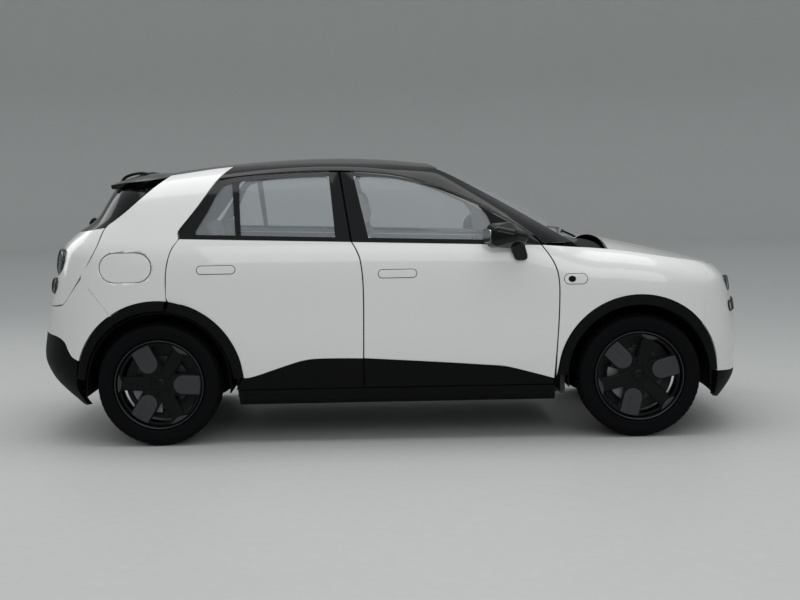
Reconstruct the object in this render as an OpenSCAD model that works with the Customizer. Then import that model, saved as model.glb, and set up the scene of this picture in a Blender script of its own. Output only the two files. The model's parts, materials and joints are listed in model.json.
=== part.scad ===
// Electric hatchback: a five-door body over a flat battery floor, with steered front wheels.
// Frame: +X is forward, +Y is the car's left, +Z is up; the origin is on the ground below the middle.

/* [Overall] */
// length over the bumpers
car_length = 4003; // [3800:1:4200]
// width over the arch flares, without mirrors
car_width = 1781; // [1700:1:1860]
// height of the roof crown above the ground
car_height = 1557; // [1480:1:1640]

/* [Wheels] */
// tyre outside diameter on a car of the design length and height
tyre_diameter = 672; // [640:1:690]
// tyre section width
tyre_width = 215; // [195:1:225]
// diameter of the wheel where the tyre sits, on the same car
rim_diameter = 484; // [450:1:500]
// distance between the left and right wheel centres
track = 1530; // [1500:1:1540]
// bore in the middle of the wheel that centres it on its hub
hub_bore = 67; // [57:0.5:75]
// circle through the wheel bolts
bolt_circle = 108; // [98:1:120]
// diameter of each wheel bolt hole
bolt_hole = 14; // [12:0.5:16]

/* [Panels] */
// open line between a moving panel and its neighbour
shut_gap = 6; // [5:0.5:9]
// joint between two fixed panels
seam = 0.3; // [0.1:0.1:0.8]
// whole depth of a door, skin to inner trim
door_depth = 60; // [50:1:68]
// depth of the window frame above a door
frame_depth = 36; // [30:1:42]
// depth of a bonnet or tailgate panel
lid_depth = 32; // [25:1:40]
// thickness of a fixed outer panel
panel_depth = 14; // [10:1:18]
// thickness of the glass
glass_depth = 5; // [4:0.5:6]

/* [Hidden] */
$fn = 64;
base_axle_f = 1351.5;
base_axle_r = -1263.5;
base_tyre = 336;
// sizes asked for, as shares of the design sizes: along the car, across it, and of its wheels
long = car_length / 4003;
wide = car_width / 1781;
small = min(long, car_height / 1557);
tyre_r = tyre_diameter / 2 * small;
rim_r = rim_diameter / 2 * small;
// the same share of the height above the axles
tall = (car_height - tyre_r) / (1557 - base_tyre);
axle_f = base_axle_f * long;
axle_r = base_axle_r * long;
// body half width and the height of its widest line in the design sizes
half_w = 884;
waist_z = 690;
// flare and wheel-house radii about the axles
arch_f = 448;
arch_r = 460;
flare_w = 53;
liner_r = 392 * min(1, long, tall);
// steering axis beside the front wheel, and the front hub face
kingpin_y = track / 2 - 70;
// inner faces of the wheel houses, front and rear, beside the tyres
front_in = track / 2 - tyre_width / 2 - 217.5;
rear_in = track / 2 - tyre_width / 2 - 97.2;

// Stretches a point of the design sizes to the sizes asked for, about the axles and the ground.
function at(p) = [
  p.x * long, p.y * wide, p.z < base_tyre ? p.z / base_tyre * tyre_r : tyre_r + (p.z - base_tyre) * tall];
// The same stretch for the points of a side view, and for a plan view.
function sketch(pts) = [for (p = pts) let (q = at([p[0], 0, p[1]])) [q.x, q.z]];
function plan(pts) = [for (p = pts) let (q = at([p[0], p[1], 0])) [q.x, q.y]];

function mix(a, b, t) = a + (b - a) * t;
function clamp(t) = max(0, min(1, t));
function ease(a, b, s) =
  a[0] * (2 * s^3 - 3 * s^2 + 1) + a[1] * (s^3 - 2 * s^2 + s)
  + b[0] * (3 * s^2 - 2 * s^3) + b[1] * (s^3 - s^2);

// Height of a smooth curve through [position, value] pairs.
function slope(p, i) =
  let (a = max(0, i - 1), b = min(len(p) - 1, i + 1))
  (p[b][1] - p[a][1]) / (p[b][0] - p[a][0]);
function curve(p, t) =
  let (
    i = max([0, for (j = [1:len(p) - 2]) if (p[j][0] <= t) j]),
    h = p[i + 1][0] - p[i][0]
  )
  ease([p[i][1], slope(p, i) * h], [p[i + 1][1], slope(p, i + 1) * h], clamp((t - p[i][0]) / h));

// Points spaced along a smooth line through the given corners.
function along(p, n) = [
  for (i = [0:n])
    let (
      t = i / n * (len(p) - 1),
      k = min(len(p) - 2, floor(t)),
      a = p[max(0, k - 1)],
      d = p[min(len(p) - 1, k + 2)]
    )
    ease([p[k], (p[k + 1] - a) / 2], [p[k + 1], (d - p[k]) / 2], t - k)];
function arc(x, r, a, b, n) = [
  for (i = [0:n])
    let (w = mix(a, b, i / n))
    [x + r * cos(w), base_tyre + r * sin(w)]];
function shift(p, d) = [for (q = p) q + d];
function flip(p) = [for (i = [len(p) - 1:-1:0]) p[i]];

// Centre-line profiles of the body: belt, bonnet crown, roof crown, nose and tail.
function belt(x) = 1086 - 0.034 * x;
function crown(x) = curve(
  [[-1900, 1300], [700, 1250], [900, 1165], [1080, 1088], [1280, 1062], [1494, 1024], [1700, 976],
    [1850, 930],
    [1960, 880]], x);
function roof(x) = curve(
  [[-1560, 1425], [-1200, 1497], [-700, 1545], [-350, 1557], [0, 1544], [200, 1520], [600, 1480],
    [1100, 1430]], x);
function nose(z) = curve(
  [[160, 1900], [230, 1955], [300, 1992], [400, 1997], [540, 2001.5], [650, 1986], [760, 1960], [857, 1930],
    [915, 1884], [960, 1840]], z);
function tail(z) = curve(
  [[200, -1800], [310, -1925], [380, -1975], [460, -2001.5], [600, -1985], [730, -1968], [870, -1934],
    [970, -1904],
    [1086, -1862], [1160, -1780], [1225, -1680], [1323, -1612], [1412, -1568], [1500, -1545]], z);

// Half width of the body at a station and a height, rounded in plan at the nose and the tail.
function nose_f(x, z) =
  x <= base_axle_f ? 1 : (1 - clamp((x - base_axle_f) / (nose(z) - base_axle_f))^3.2)^(1 / 3.2);
function tail_f(x, z) =
  x >= base_axle_r ? 1 : (1 - clamp((x - base_axle_r) / (tail(z) - base_axle_r))^3.2)^(1 / 3.2);
function lower_y(x, z) =
  z < waist_z ? half_w - 30 * ((waist_z - z) / 390)^2
  : half_w * (1 - clamp((z - waist_z) / (crown(x) - waist_z))^5)^0.2;
function upper_y(x, z) =
  let (b = belt(x), h = z - b)
  (lower_y(x, b) - 0.42 * h) * (1 - clamp(h / (roof(x) - b))^6)^(1 / 6);
function side_y(x, z) = (z <= belt(x) ? lower_y(x, z) : upper_y(x, z)) * nose_f(x, z) * tail_f(x, z);

// A closed solid between two matching grids of points.
function quad(a, b, c, d) = [[a, b, c], [a, c, d]];
function volume6(p, f) = [for (t = f) cross(p[t[0]], p[t[1]]) * p[t[2]]] * [for (t = f) 1];
module solid(points, faces) {
  placed = [for (p = points) at(p)];
  polyhedron(placed, volume6(placed, faces) < 0 ? faces : [for (f = faces) [f[2], f[1], f[0]]], 10);
}
module slab(outer, inner) {
  n = len(outer);
  m = len(outer[0]);
  o = n * m;
  solid(
    [for (g = [outer, inner]) for (r = g) for (p = r) p],
    [for (i = [0:n - 2]) for (j = [0:m - 2])
        let (k = i * m + j)
        for (f = concat(quad(k, k + 1, k + m + 1, k + m), quad(o + k, o + k + m, o + k + m + 1,
          o + k + 1))) f,
      for (j = [0:m - 2])
        let (e = (n - 1) * m)
        for (f = concat(quad(j + 1, j, o + j, o + j + 1), quad(e + j, e + j + 1, o + e + j + 1,
          o + e + j))) f,
      for (i = [0:n - 2])
        let (k = i * m, e = i * m + m - 1)
        for (f = concat(quad(k, k + m, o + k + m, o + k), quad(e + m, e, o + e, o + e + m))) f]);
}
// A closed ring of matching loops, such as a window frame.
module ring(loops) {
  k = len(loops);
  n = len(loops[0]);
  solid(
    [for (l = loops) for (p = l) p],
    [for (a = [0:k - 1]) for (i = [0:n - 1])
        let (b = (a + 1) % k, j = (i + 1) % n)
        for (f = quad(a * n + i, a * n + j, b * n + j, b * n + i)) f]);
}

// Side-view grid filling four border lines: bottom and top run forward, rear and front run up.
function patch(bottom, top, rear, front) =
  let (m = len(bottom) - 1, n = len(rear) - 1)
  [for (i = [0:n])
      [for (j = [0:m])
          let (u = j / m, v = i / n)
          mix(bottom[j], top[j], v) + mix(rear[i], front[i], u)
          - mix(mix(bottom[0], bottom[m], u), mix(top[0], top[m], u), v)]];
// Lays a side-view point on the body side, some way in from its skin.
function onto(p, s, inset) = [p[0], s * (side_y(p[0], p[1]) - inset), p[1]];
// A body-side panel: the skin, and an inner face drawn in from its rear, front, bottom and top edges.
module side_panel(g, s, depth, draw, lift = 0) {
  n = len(g) - 1;
  m = len(g[0]) - 1;
  slab(
    [for (r = g) [for (p = r) onto(p, s, -lift)]],
    [for (i = [0:n])
        [for (j = [0:m])
            let (
              low = is_list(draw[2]) ? draw[2][j] : draw[2],
              high = is_list(draw[3]) ? draw[3][j] : draw[3],
              q = g[i][j] + [j == 0 ? draw[0] : j == m ? -draw[1] : 0, i == 0 ? low : i == n ? -high : 0],
              o = onto(g[i][j], s, depth)
            )
            [q[0], o.y, q[1]]]]);
}
// A panel bowed across the car: each station has an edge point and a crown point [x, z].
function bowed(edge, mid, n, drop) = [
  for (i = [0:len(edge) - 1])
    [for (j = [-n:n])
        let (v = j / n, e = edge[i], c = mid[i])
        [mix(c[0], e.x, abs(v)^2.2), v * e.y, mix(c[1], e.z, abs(v)^2.6) - drop]]];
module bow_panel(edge, mid, n, depth) {
  slab(bowed(edge, mid, n, 0), bowed(edge, mid, n, depth));
}

// Shut lines of the right or left side in side view, bottom to top.
function front_line() = along(
  [[888, 332], [908, 600], [916, 790], [909, 902], [876, 985], [824, 1058]], 8);
function middle_line() = along(
  [[-150, 463], [-145, 700], [-146, 884], [-163, 1013], [-203, 1093]], 8);
function rear_line() = concat(
  arc(base_axle_r, arch_r, 4, 82, 7),
  [[-1207, 880], [-1200, 975], [-1176, 1062], [-1134, 1124]]);
// Tops of the door frames, running forward.
function rear_top() = along(
  [[-1128, 1166], [-1028, 1302], [-927, 1440], [-696, 1466], [-458, 1477], [-267, 1476]], 10);
function front_top() = along(
  [[-267, 1476], [-64, 1464], [89, 1441], [251, 1395], [391, 1336], [548, 1261], [685, 1181], [781, 1112],
    [816, 1064]], 10);
half_gap = [shut_gap / 2, 0];
function spread(a, b, n) = [for (j = [0:n]) mix(a, b, j / n)];

// Grids of the two door skins above the dark lower cladding.
function front_door_grid() =
  let (r = shift(middle_line(), half_gap), f = shift(front_line(), -half_gap))
  patch(
    along([r[0], [227, 437], [516, 414], [648, 398], f[0]], 8),
    spread(r[8], f[8], 8), r, f);
function rear_door_grid() =
  let (f = shift(middle_line(), -half_gap), r = shift(rear_line(), half_gap))
  patch(
    along([r[0], [-747, 372], [-534, 442], [-402, 466], f[0]], 8),
    spread(r[len(r) - 1], f[8], 8), r, [for (i = [0:len(r) - 1]) along(f, len(r) - 1)[i]]);
sill_z = 302;
door_draw = [18, 18, 18, 18];
function front_clad_grid() =
  let (r = spread([-147, sill_z], [-147, 463 - seam], 2), f = spread([882, sill_z], [885, 332 - seam], 2))
  patch(
    spread(r[0], f[0], 8), along([r[2], [227, 437 - seam], [516, 414 - seam], [648, 398 - seam], f[2]],
      8), r, f);
function rear_clad_grid() =
  let (r = spread([-846, sill_z], [-803, 366 - seam], 2), f = spread([-153, sill_z], [-153, 463 - seam], 2))
  patch(
    spread(r[0], f[0], 8), along([r[2], [-747, 372 - seam], [-534, 442 - seam], [-402, 466 - seam],
      f[2]], 8), r, f);

// Window frame ring and the pane inside it, from bottom and top lists that run forward.
module window_frame(bo, to, bi, ti, s) {
  outer = concat(bo, flip(to));
  inner = concat(bi, flip(ti));
  function drawn(p, q) = p + (q - p) * min(0.8, 26 / max(26, norm(q - p)));
  ring([
    [for (p = outer) onto(p, s, 0)],
    [for (p = inner) onto(p, s, 0)],
    [for (p = inner) onto(p, s, frame_depth)],
    [for (i = [0:len(outer) - 1])
        let (q = drawn(outer[i], inner[i]), o = onto(outer[i], s, frame_depth))
        [q[0], o.y, q[1]]]]);
}
module pane(bi, ti, s) {
  g = [for (i = [0:4]) [for (j = [0:len(bi) - 1]) mix(bi[j], ti[j], i / 4)]];
  slab(
    [for (r = g) [for (p = r) onto(p, s, 6)]],
    [for (r = g) [for (p = r) onto(p, s, 6 + glass_depth)]]);
}
// Upright bar across the outside of a pane, from its lower corners to its upper corners.
module side_bar(low, high, s) {
  g = [for (v = spread(0, 1, 6)) [for (u = [0, 1]) mix(low[u], high[u], v)]];
  slab([for (r = g) [for (p = r) onto(p, s, 0.6)]], [for (r = g) [for (p = r) onto(p, s, 4.4)]]);
}
function belt_list(a, b, n, d) = [for (j = [0:n]) let (x = mix(a, b, j / n)) [x, belt(x) + d]];
front_bo = belt_list(-199, 818, 10, seam);
front_to = concat([[-262, 1471]], [for (i = [1:9]) front_top()[i] - [0, shut_gap]], [[818, 1066]]);
front_bi = belt_list(-112, 560, 10, 24);
front_ti = along(
  [[-190, 1446], [-64, 1444], [89, 1424], [251, 1377], [391, 1320], [505, 1264], [553, 1180]], 10);
rear_bo = belt_list(-1124, -209, 10, seam);
rear_to = concat(
  [for (i = [0:9]) rear_top()[i] - [i < 3 ? -shut_gap * 0.7 : 0, i < 3 ? 0 : shut_gap]], [[-273, 1470]]);
rear_bi = belt_list(-1040, -290, 10, 24);
rear_ti = along(
  [[-1046, 1160], [-970, 1285], [-893, 1412], [-696, 1437], [-480, 1448], [-324, 1447]], 10);

module door_front(s) color("white") side_panel(front_door_grid(), s, door_depth, door_draw);
module door_rear(s) color("white") side_panel(rear_door_grid(), s, door_depth, door_draw);
module front_trim(s) color([0.06, 0.06, 0.07]) {
  window_frame(front_bo, front_to, front_bi, front_ti, s);
  side_panel(front_clad_grid(), s, door_depth, door_draw, 1);
}
module rear_trim(s) color([0.06, 0.06, 0.07]) {
  resize([0, 0, 0]) union() {
    window_frame(rear_bo, rear_to, rear_bi, rear_ti, s);
    side_bar([[-826, 1122], [-798, 1122]], [[-853, 1432], [-816, 1432]], s);
  }
  side_panel(rear_clad_grid(), s, door_depth, door_draw, 1);
  flare(base_axle_r + shut_gap / 2, arch_r, 4, 82, 7, s, seam);
}
// Dark band around a wheel opening, standing a little proud of the panel outside it.
module flare(x, r, a, b, n, s, in = 3.5) {
  g = [for (i = [0:2]) arc(x, mix(r - flare_w, r - in, i / 2), a, b, n)];
  slab(
    [for (q = g) [for (p = q) onto(p, s, -6)]],
    [for (q = g) [for (p = q) onto(p, s, 42)]]);
}

// Fixed body-side panels.
function wing_grid() =
  let (
    r = shift(front_line(), half_gap),
    rear = concat([[897, 344]], [for (i = [1:8]) r[i]]),
    bottom = concat([rear[0]], arc(base_axle_f, arch_f, 174, 38, 11)),
    front = spread(bottom[12], [1740, 938], 8)
  )
  patch(
    bottom, along([rear[8], [1018, 1041], [1190, 1026], [1340, 1006], [1494, 981], [1640, 957],
      front[8]], 12),
    rear, front);
function quarter_grid() =
  let (
    front = concat(
      [for (p = along([[-1204, 792], [-1207, 880], [-1200, 975], [-1176, 1062], [-1134, 1124]],
        5)) p - half_gap],
      [[-1139, 1166], [-1082, 1240], [-1034, 1302], [-984, 1374], [-931, 1446], [-862, roof_edge_z(-862)]]),
    rear = concat(
      spread([-1513.5, 722], [-1675, 925], 3),
      [[-1622, 1009], [-1574, 1098], [-1539, 1188], [-1487, 1230], [-1431, 1272], [-1360, 1333],
        [-1282, 1402],
        [-1199, roof_edge_z(-1199)]])
  )
  patch(
    flip(concat([front[0]], [for (p = arc(base_axle_r, arch_r, 86, 122, 6)) p], [rear[0]])),
    [for (x = spread(rear[11][0], front[11][0], 8)) [x, roof_edge_z(x)]], rear, front);

wing_draw = [0, 16, [for (j = [0:12]) j < 12 ? 0 : 20], [for (j = [0:12]) j < 4 ? 0 : 30]];
module front_wings() color("white") for (s = [-1, 1]) side_panel(wing_grid(), s, panel_depth, wing_draw);
quarter_draw = [50, 0, 0, 52];
module quarter_panels() color("white") {
  side_panel(quarter_grid(), 1, door_depth, quarter_draw);
  resize([0, 0, 0]) difference() {
    side_panel(quarter_grid(), -1, door_depth, quarter_draw);
    quarter_pocket();
  }
}

// Front and rear ends: a point at an angle round the plan of the nose or tail, set in from the skin.
function end_x(front, w, z) =
  front ? base_axle_f + (nose(z) - base_axle_f) * sin(w)^0.625
  : base_axle_r + (tail(z) - base_axle_r) * sin(w)^0.625;
function end_angle(front, p) =
  asin(clamp(front ? (p[0] - base_axle_f) / (nose(p[1]) - base_axle_f)
    : (p[0] - base_axle_r) / (tail(p[1]) - base_axle_r))^1.6);
function polar(front, p) = [end_angle(front, p), p[1]];
function round_end(front, q, s, inset) =
  let (x = end_x(front, q[0], q[1]))
  [x - (front ? inset : -inset) * sin(q[0]), s * max(0, side_y(x, q[1]) - inset * cos(q[0])), q[1]];
// Whole-width grid from a half grid of [angle, height] that ends on the centre line.
function around(g, front, inset) =
  let (m = len(g[0]) - 1)
  [for (r = g)
      concat([for (j = [0:m]) round_end(front, r[j], -1, inset)],
        [for (j = [m - 1:-1:0]) round_end(front, r[j], 1, inset)])];
module end_panel(g, front, depth, inset = 0, fall = 0) {
  n = len(g) - 1;
  lowered = [for (i = [0:n]) [for (j = [0:len(g[i]) - 1]) g[i][j] + [j == 0 ? 2 : 0, i == n ? -fall : 0]]];
  slab(around(g, front, inset), around(lowered, front, inset + depth));
}
function half_patch(seam_line, bottom, top, front, m) =
  let (n = len(seam_line) - 1, e = [for (p = seam_line) polar(front, p)])
  patch(
    along(concat([e[0]], bottom), m), along(concat([e[n]], top), m), e,
    spread(bottom[len(bottom) - 1], top[len(top) - 1], n));

// Bonnet leading edge and tailgate lower edge, as [angle, height] from the side to the centre line.
bonnet_edge = [[62, 922], [90, 914]];
tail_edge = [[35, 832], [38.5, 792], [44, 769], [64, 757], [90, 755]];
function below(p, d) = [for (q = p) q - [0, d]];
function front_seam() = concat(
  [for (p = arc(base_axle_f, arch_f, 1, 38, 4)) p], spread([1704.5, 612], [1740, 938], 4));
function rear_seam() = concat(
  [for (p = arc(base_axle_r, arch_r, 163, 123, 4)) p], spread([-1514, 722], [-1673, 918], 3));

module front_bumper() color("white") resize([0, 0, 0]) difference() {
  end_panel(
    half_patch(
      [for (p = front_seam()) p + [seam, 0]], [[58, 330], [90, 335]], below(bonnet_edge, shut_gap), true,
        9),
    true, panel_depth, 0, 18);
  head_lenses(1, 60);
}
module front_grille() color([0.06, 0.06, 0.07]) end_panel(
  half_patch([[1796, 205], [1799, 270], [1799, 343]], [[60, 165], [90, 165]],
    [[58, 330 - seam], [90, 335 - seam]], true, 9),
  true, 30);
module rear_bumper() color("white") end_panel(
  half_patch(
    [for (p = rear_seam()) p - [seam, 0]], [[31, 500], [39, 585], [60, 604], [90, 606]],
    below(tail_edge, shut_gap), false, 9),
  false, panel_depth, 0, 16);
module rear_lower_bumper() color([0.06, 0.06, 0.07]) end_panel(
  half_patch(
    concat([[-1712, 240]], [for (p = arc(base_axle_r, arch_r + 2.5, 178, 164.5, 3)) p]),
      [[45, 205], [90, 205]],
    [[31, 497], [39, 581], [60, 600], [90, 602]], false, 9),
  false, 30);

// Bonnet: its side edges follow the wings, its front edge follows the bumper.
bonnet_side = [[1196, 1026], [1340, 1006], [1494, 981], [1640, 957], [1738, 938]];
function bonnet_grid(drop) =
  let (
    e = [for (p = along(bonnet_side, 6)) [p[0], side_y(p[0], p[1]) - shut_gap - drop * 0.8, p[1] - drop]],
    a = end_angle(true, bonnet_side[4]),
    lead = along(concat([[a, 938]], bonnet_edge), 5),
    f = [for (q = lead) let (p = round_end(true, q, 1, 2 + drop)) [p.x, p.y, p.z - drop]],
    rear = [for (v = spread(1, 0, 5)) [mix(1226, e[0].x, v^2), e[0].y * v, mix(1070, e[0].z, v^2.6) - drop]]
  )
  patch(
    concat([for (p = rear) [p.x, -p.y, p.z]], [for (j = [4:-1:0]) rear[j]]),
    concat([[e[6].x, -e[6].y, e[6].z]], [for (j = [1:5]) [f[j].x, -f[j].y, f[j].z]],
      [for (j = [4:-1:1]) f[j]], [e[6]]),
    [for (p = e) [p.x, -p.y, p.z]], e);
module bonnet() color("white") slab(bonnet_grid(0), bonnet_grid(lid_depth));

// Windscreen, roof and cowl, each bowed across the car between its side edges.
screen_edge = [[1012, 738, 1064], [810, 700, 1184], [560, 652, 1330], [276, 590, 1484]];
screen_mid = [[1108, 1062], [890, 1196], [600, 1356], [222, 1520]];
module windscreen() color([0.1, 0.12, 0.14]) bow_panel(
  along(screen_edge, 5), along(screen_mid, 5), 5, glass_depth);
roof_x = [272, 200, -20, -267, -458, -696, -858, -1030, -1196];
function roof_edge_y(x) = x > 250 ? 588 : side_y(x, roof_edge_z(x)) - (x < -800 ? 5 : 0.8);
function roof_edge_z(x) = curve(
  [[-1200, 1468], [-862, 1511], [-500, 1524], [-250, 1522], [0, 1511], [276, 1484]], x);
function roof_side(k) = [for (x = roof_x) [x, roof_edge_y(x) * k, roof_edge_z(x)]];
roof_mid = [for (x = roof_x) let (c = x - 54 * clamp((x + 100) / 376)) [c, roof(c)]];
module roof_panel() color([0.06, 0.06, 0.07]) slab(
  bowed(roof_side(1), roof_mid, 5, 0), bowed(roof_side(0.9), roof_mid, 5, 34));
module cowl_panel() color([0.06, 0.06, 0.07]) bow_panel(
  [[1178, 742, 1006], [1100, 742, 1012], [1008, 733, 1058.7]],
    [[1208, 1040], [1160, 1044], [1104, 1056.7]], 5, 30);

// Pillar and rail on each side: from the cowl up the windscreen and back to the quarter panel.
rail_low = [[838, 1067], [787, 1114], [689, 1186], [551, 1266], [391, 1341], [251, 1400], [89, 1447],
  [-64, 1469],
  [-267, 1482], [-458, 1483], [-696, 1472], [-927, 1448]];
rail_high = concat(
  [for (p = along(screen_edge, 5)) p + [0, 1, 0]],
  [for (x = [200, -20, -267, -458, -696, -858]) [x, side_y(x, roof_edge_z(x)), roof_edge_z(x)]]);
function rail_grid(s, inset) = [
  for (i = [0:11])
    let (o = onto(rail_low[i], s, inset), h = rail_high[i], t = [h.x, s * h.y, h.z - inset * 0.8])
    [o, mix(o, t, 0.5) + [0, s * 9, 5], t]];
module roof_rails() color([0.06, 0.06, 0.07]) for (s = [-1, 1]) slab(rail_grid(s, 0), rail_grid(s, 46));
module centre_pillars() color([0.5, 0.5, 0.52]) for (s = [-1, 1]) {
  g = [for (i = [0:8])
      let (z = mix(sill_z - shut_gap + seam, 1483, i / 8), x = z < 1000 ? -148 : mix(-148, -268,
        (z - 1000) / 474))
      [[x - 84 + z / 60, z], [x, z], [x + 84 - z / 60, z]]];
  slab(
    [for (r = g) [for (p = r) onto(p, s, door_depth + 8)]], [for (r = g) [for (p = r) onto(p, s,
      door_depth + 62)]]);
}

// Tailgate: painted lower panel, dark frame, wrapped glass and roof spoiler.
gate_seam = [[-1678, 925], [-1625, 1009], [-1577, 1098], [-1542, 1188.7]];
glass_low = [[44, 1172], [60, 1164], [90, 1160]];
glass_seam = [[-1546, 1189], [-1490, 1230], [-1434, 1276], [-1364, 1335], [-1318, 1377]];
glass_high = [[55, 1402], [65, 1410], [75, 1416], [90, 1421]];
module tailgate() color("white") resize([0, 0, 0]) difference() {
  end_panel(
    half_patch([for (p = gate_seam) p - half_gap], tail_edge, below(glass_low, seam), false, 9), false,
      lid_depth);
  tail_lenses(1, 60);
}
module rear_window() color([0.1, 0.12, 0.14]) end_panel(
  half_patch([for (p = glass_seam) p - half_gap], glass_low, glass_high, false, 8), false, glass_depth);
function gate_loop(d, inset) =
  let (
    e = [for (p = glass_seam) polar(false, p - half_gap) + [d * 0.13, 0]],
    low = along(concat([e[0] + [0, d - 6]], [for (q = glass_low) q + [0, d - 6]]), 8),
    high = along(concat([e[4] + [0, 6 - d]], [for (q = glass_high) q + [0, 6 - d]]), 8),
    half = concat(flip(low), [for (i = [1:3]) e[i]], high)
  )
  concat([for (q = half) round_end(false, q, -1, inset)],
    [for (i = [len(half) - 2:-1:1]) round_end(false, half[i], 1, inset)]);
module tailgate_frame() color([0.06, 0.06, 0.07]) ring([
  gate_loop(6, glass_depth + 8.8), gate_loop(70, glass_depth + 8.8),
  gate_loop(70, lid_depth), gate_loop(30, lid_depth)]);
spoiler_edge = [[-1216, 555, 1462], [-1330, 596, 1442], [-1450, 596, 1434], [-1545, 560, 1420]];
spoiler_mid = [[-1216, 1487], [-1345, 1490], [-1466, 1474], [-1566, 1437]];
under_edge = [[-1216, 538, 1424], [-1330, 578, 1395], [-1450, 578, 1394], [-1545, 543, 1399]];
under_mid = [[-1216, 1449], [-1345, 1455], [-1466, 1443], [-1566, 1420.8]];
module rear_spoiler() color([0.06, 0.06, 0.07]) slab(
  bowed(along(spoiler_edge, 5), along(spoiler_mid, 5), 5, 0), bowed(along(under_edge, 5),
    along(under_mid, 5), 5, 0));

// Lamps: round lenses set in the nose and in the tailgate.
module lens(p, yaw, pitch, d, depth) translate(at(p)) rotate([0, 0, yaw]) rotate([0, 90 - pitch, 0])
  cylinder(d = d, h = depth, center = true, $fn = 40);

// Wheel, tyre and hub, drawn about the axle with +Y pointing outboard.
module about_axle() rotate([-90, 0, 0]) rotate_extrude($fn = 96) children();
module tyre_shape() {
  w = tyre_width / 2;
  about_axle() polygon(concat(
    [[rim_r + 1, -w + 24], [rim_r + 14, -w + 8]],
    [for (a = [0:15:90]) [tyre_r - 34 + 34 * sin(a), -w + 34 - 34 * cos(a)]],
    [for (a = [90:15:180]) [tyre_r - 34 + 34 * sin(a), w - 34 - 34 * cos(a)]],
    [[rim_r + 14, w - 8], [rim_r + 1, w - 24]]));
}
// Covers over every other spoke start this far out; wedge openings fill the space beside them.
cover_in = 75;
function opening(m) = [
  for (q = concat([[77.4, 58]], [for (a = [15.9:8.45:49.7]) [212 * cos(a), 212 * sin(a)]]))
    [q[0], m * q[1]] * rim_r / 242];
module wheel_shape() {
  w = tyre_width / 2;
  lip = rim_r - 14;
  difference() {
    about_axle() polygon([
      [hub_bore / 2, 30], [78, 30], [78, 46], [lip, 46], [lip, 20 - w], [rim_r + 0.6, 20 - w],
        [rim_r + 0.6, w - 20],
      [rim_r - 6, w - 14], [lip, w - 20], [lip, 66], [hub_bore / 2, 66]]);
    for (a = [36:72:324]) rotate([0, a, 0]) translate([bolt_circle / 2, 20, 0]) rotate([-90, 0, 0])
      cylinder(d = bolt_hole, h = 100);
    for (a = [0:120:240]) for (m = [-1, 1]) rotate([0, a, 0]) translate([0, 40, 0]) rotate([-90, 0, 0])
      linear_extrude(40) polygon(opening(m));
  }
  for (a = [0:120:240]) rotate([0, a, 0]) translate([0, 64, 0]) rotate([-90, 0, 0]) linear_extrude(14)
    intersection() {
      union() {
        translate([cover_in + 52, 0]) circle(d = 104);
        translate([cover_in + 52, -52]) square([rim_r, 104]);
      }
      circle(r = lip - 3);
    }
}
module at_wheel(x, s) translate([x, s * track / 2, tyre_r]) rotate([0, 0, s > 0 ? 0 : 180]) children();
// How far each wheel has rolled on from a cover pointing forward.
front_turn = 75;
rear_turn = 58;
module wheel(x, s, turn) color([0.12, 0.12, 0.13]) at_wheel(x, s) rotate([0, turn, 0]) wheel_shape();
module knuckle_shape() {
  rotate([-90, 0, 0]) cylinder(d = hub_bore - 1, h = 60, $fn = 64);
  translate([0, -8, 0]) rotate([-90, 0, 0]) cylinder(d = 150, h = 37.4);
  translate([0, -32, 0]) rotate([-90, 0, 0]) cylinder(d = 290, h = 24.5);
  translate([0, -70, 0]) rotate([-90, 0, 0]) cylinder(d = 96, h = 62);
  translate([0, -70, -150]) cylinder(d = 44, h = 300);
}

// Floor: one folded sheet from the toe board to the load floor, narrowed between the rear wheels.
floor_z = 232;
load_z = 470;
module floor_pan() color([0.3, 0.3, 0.32]) {
  difference() {
    extruded(1380 * wide) polygon(sketch([
      [925.5, floor_z], [925.5, floor_z + 24], [-843.5, floor_z + 24], [-883.5, load_z], [-1823.5, load_z],
      [-1823.5, load_z - 24], [-903.5, load_z - 24], [-867.5, floor_z]]));
    for (s = [-1, 1]) translate([axle_r - 600, s > 0 ? rear_in - 0.3 : -rear_in - 199.7, 0]) cube([1010,
      200, 900]);
  }
  for (s = [-1, 1]) for (x = [axle_f - 590, axle_r + 560]) translate([x, s * 645 * wide, floor_z - 32])
    cylinder(d = 70, h = 40, $fn = 48);
}
function post_side(s) = [
  for (p = [[790, 240], [790, 640], [half_w - panel_depth - 1.9, 640], [half_w - panel_depth - 1.9, 740],
    [790, 740],
    [790, 900], [720, 985]]) [s * p[0], p[1]]];
module firewall() color([0.3, 0.3, 0.32]) translate([at([925.8, 0, 0]).x, 0, 0]) rotate([90, 0, 90])
  linear_extrude(at([951.8, 0, 0]).x - at([925.8, 0, 0]).x) polygon(
    [for (p = concat(post_side(1), flip(post_side(-1)))) let (q = at([0, p[0], p[1]])) [q.y, q.z]]);
module sills() color([0.06, 0.06, 0.07]) for (s = [-1, 1]) {
  g = [for (x = spread(890, -830, 8)) [[x, 212], [x, 240], [x, sill_z - shut_gap]]];
  slab(
    [for (r = g) [for (p = r) onto(p, s, p[1] < 220 ? 24 : -2)]],
    [for (r = g) [for (p = r) [p[0], s * 690.3, p[1]]]]);
}
pack_corner = [[-843.5, 520], [-763.5, 600], [776.5, 600], [856.5, 520]];
module battery_pack() color([0.2, 0.2, 0.22]) translate([0, 0, at([0, 0, 186]).z])
  linear_extrude(at([0, 0, floor_z - seam]).z - at([0, 0, 186]).z)
    polygon(plan(concat(pack_corner, [for (p = flip(pack_corner)) [p[0], -p[1]]])));
module drive_motor() color([0.55, 0.56, 0.58]) translate([axle_r + 38.3 + 100 * small, 0, tyre_r])
  rotate([90, 0, 0]) cylinder(d = 200 * small, h = 420, center = true);
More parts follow.
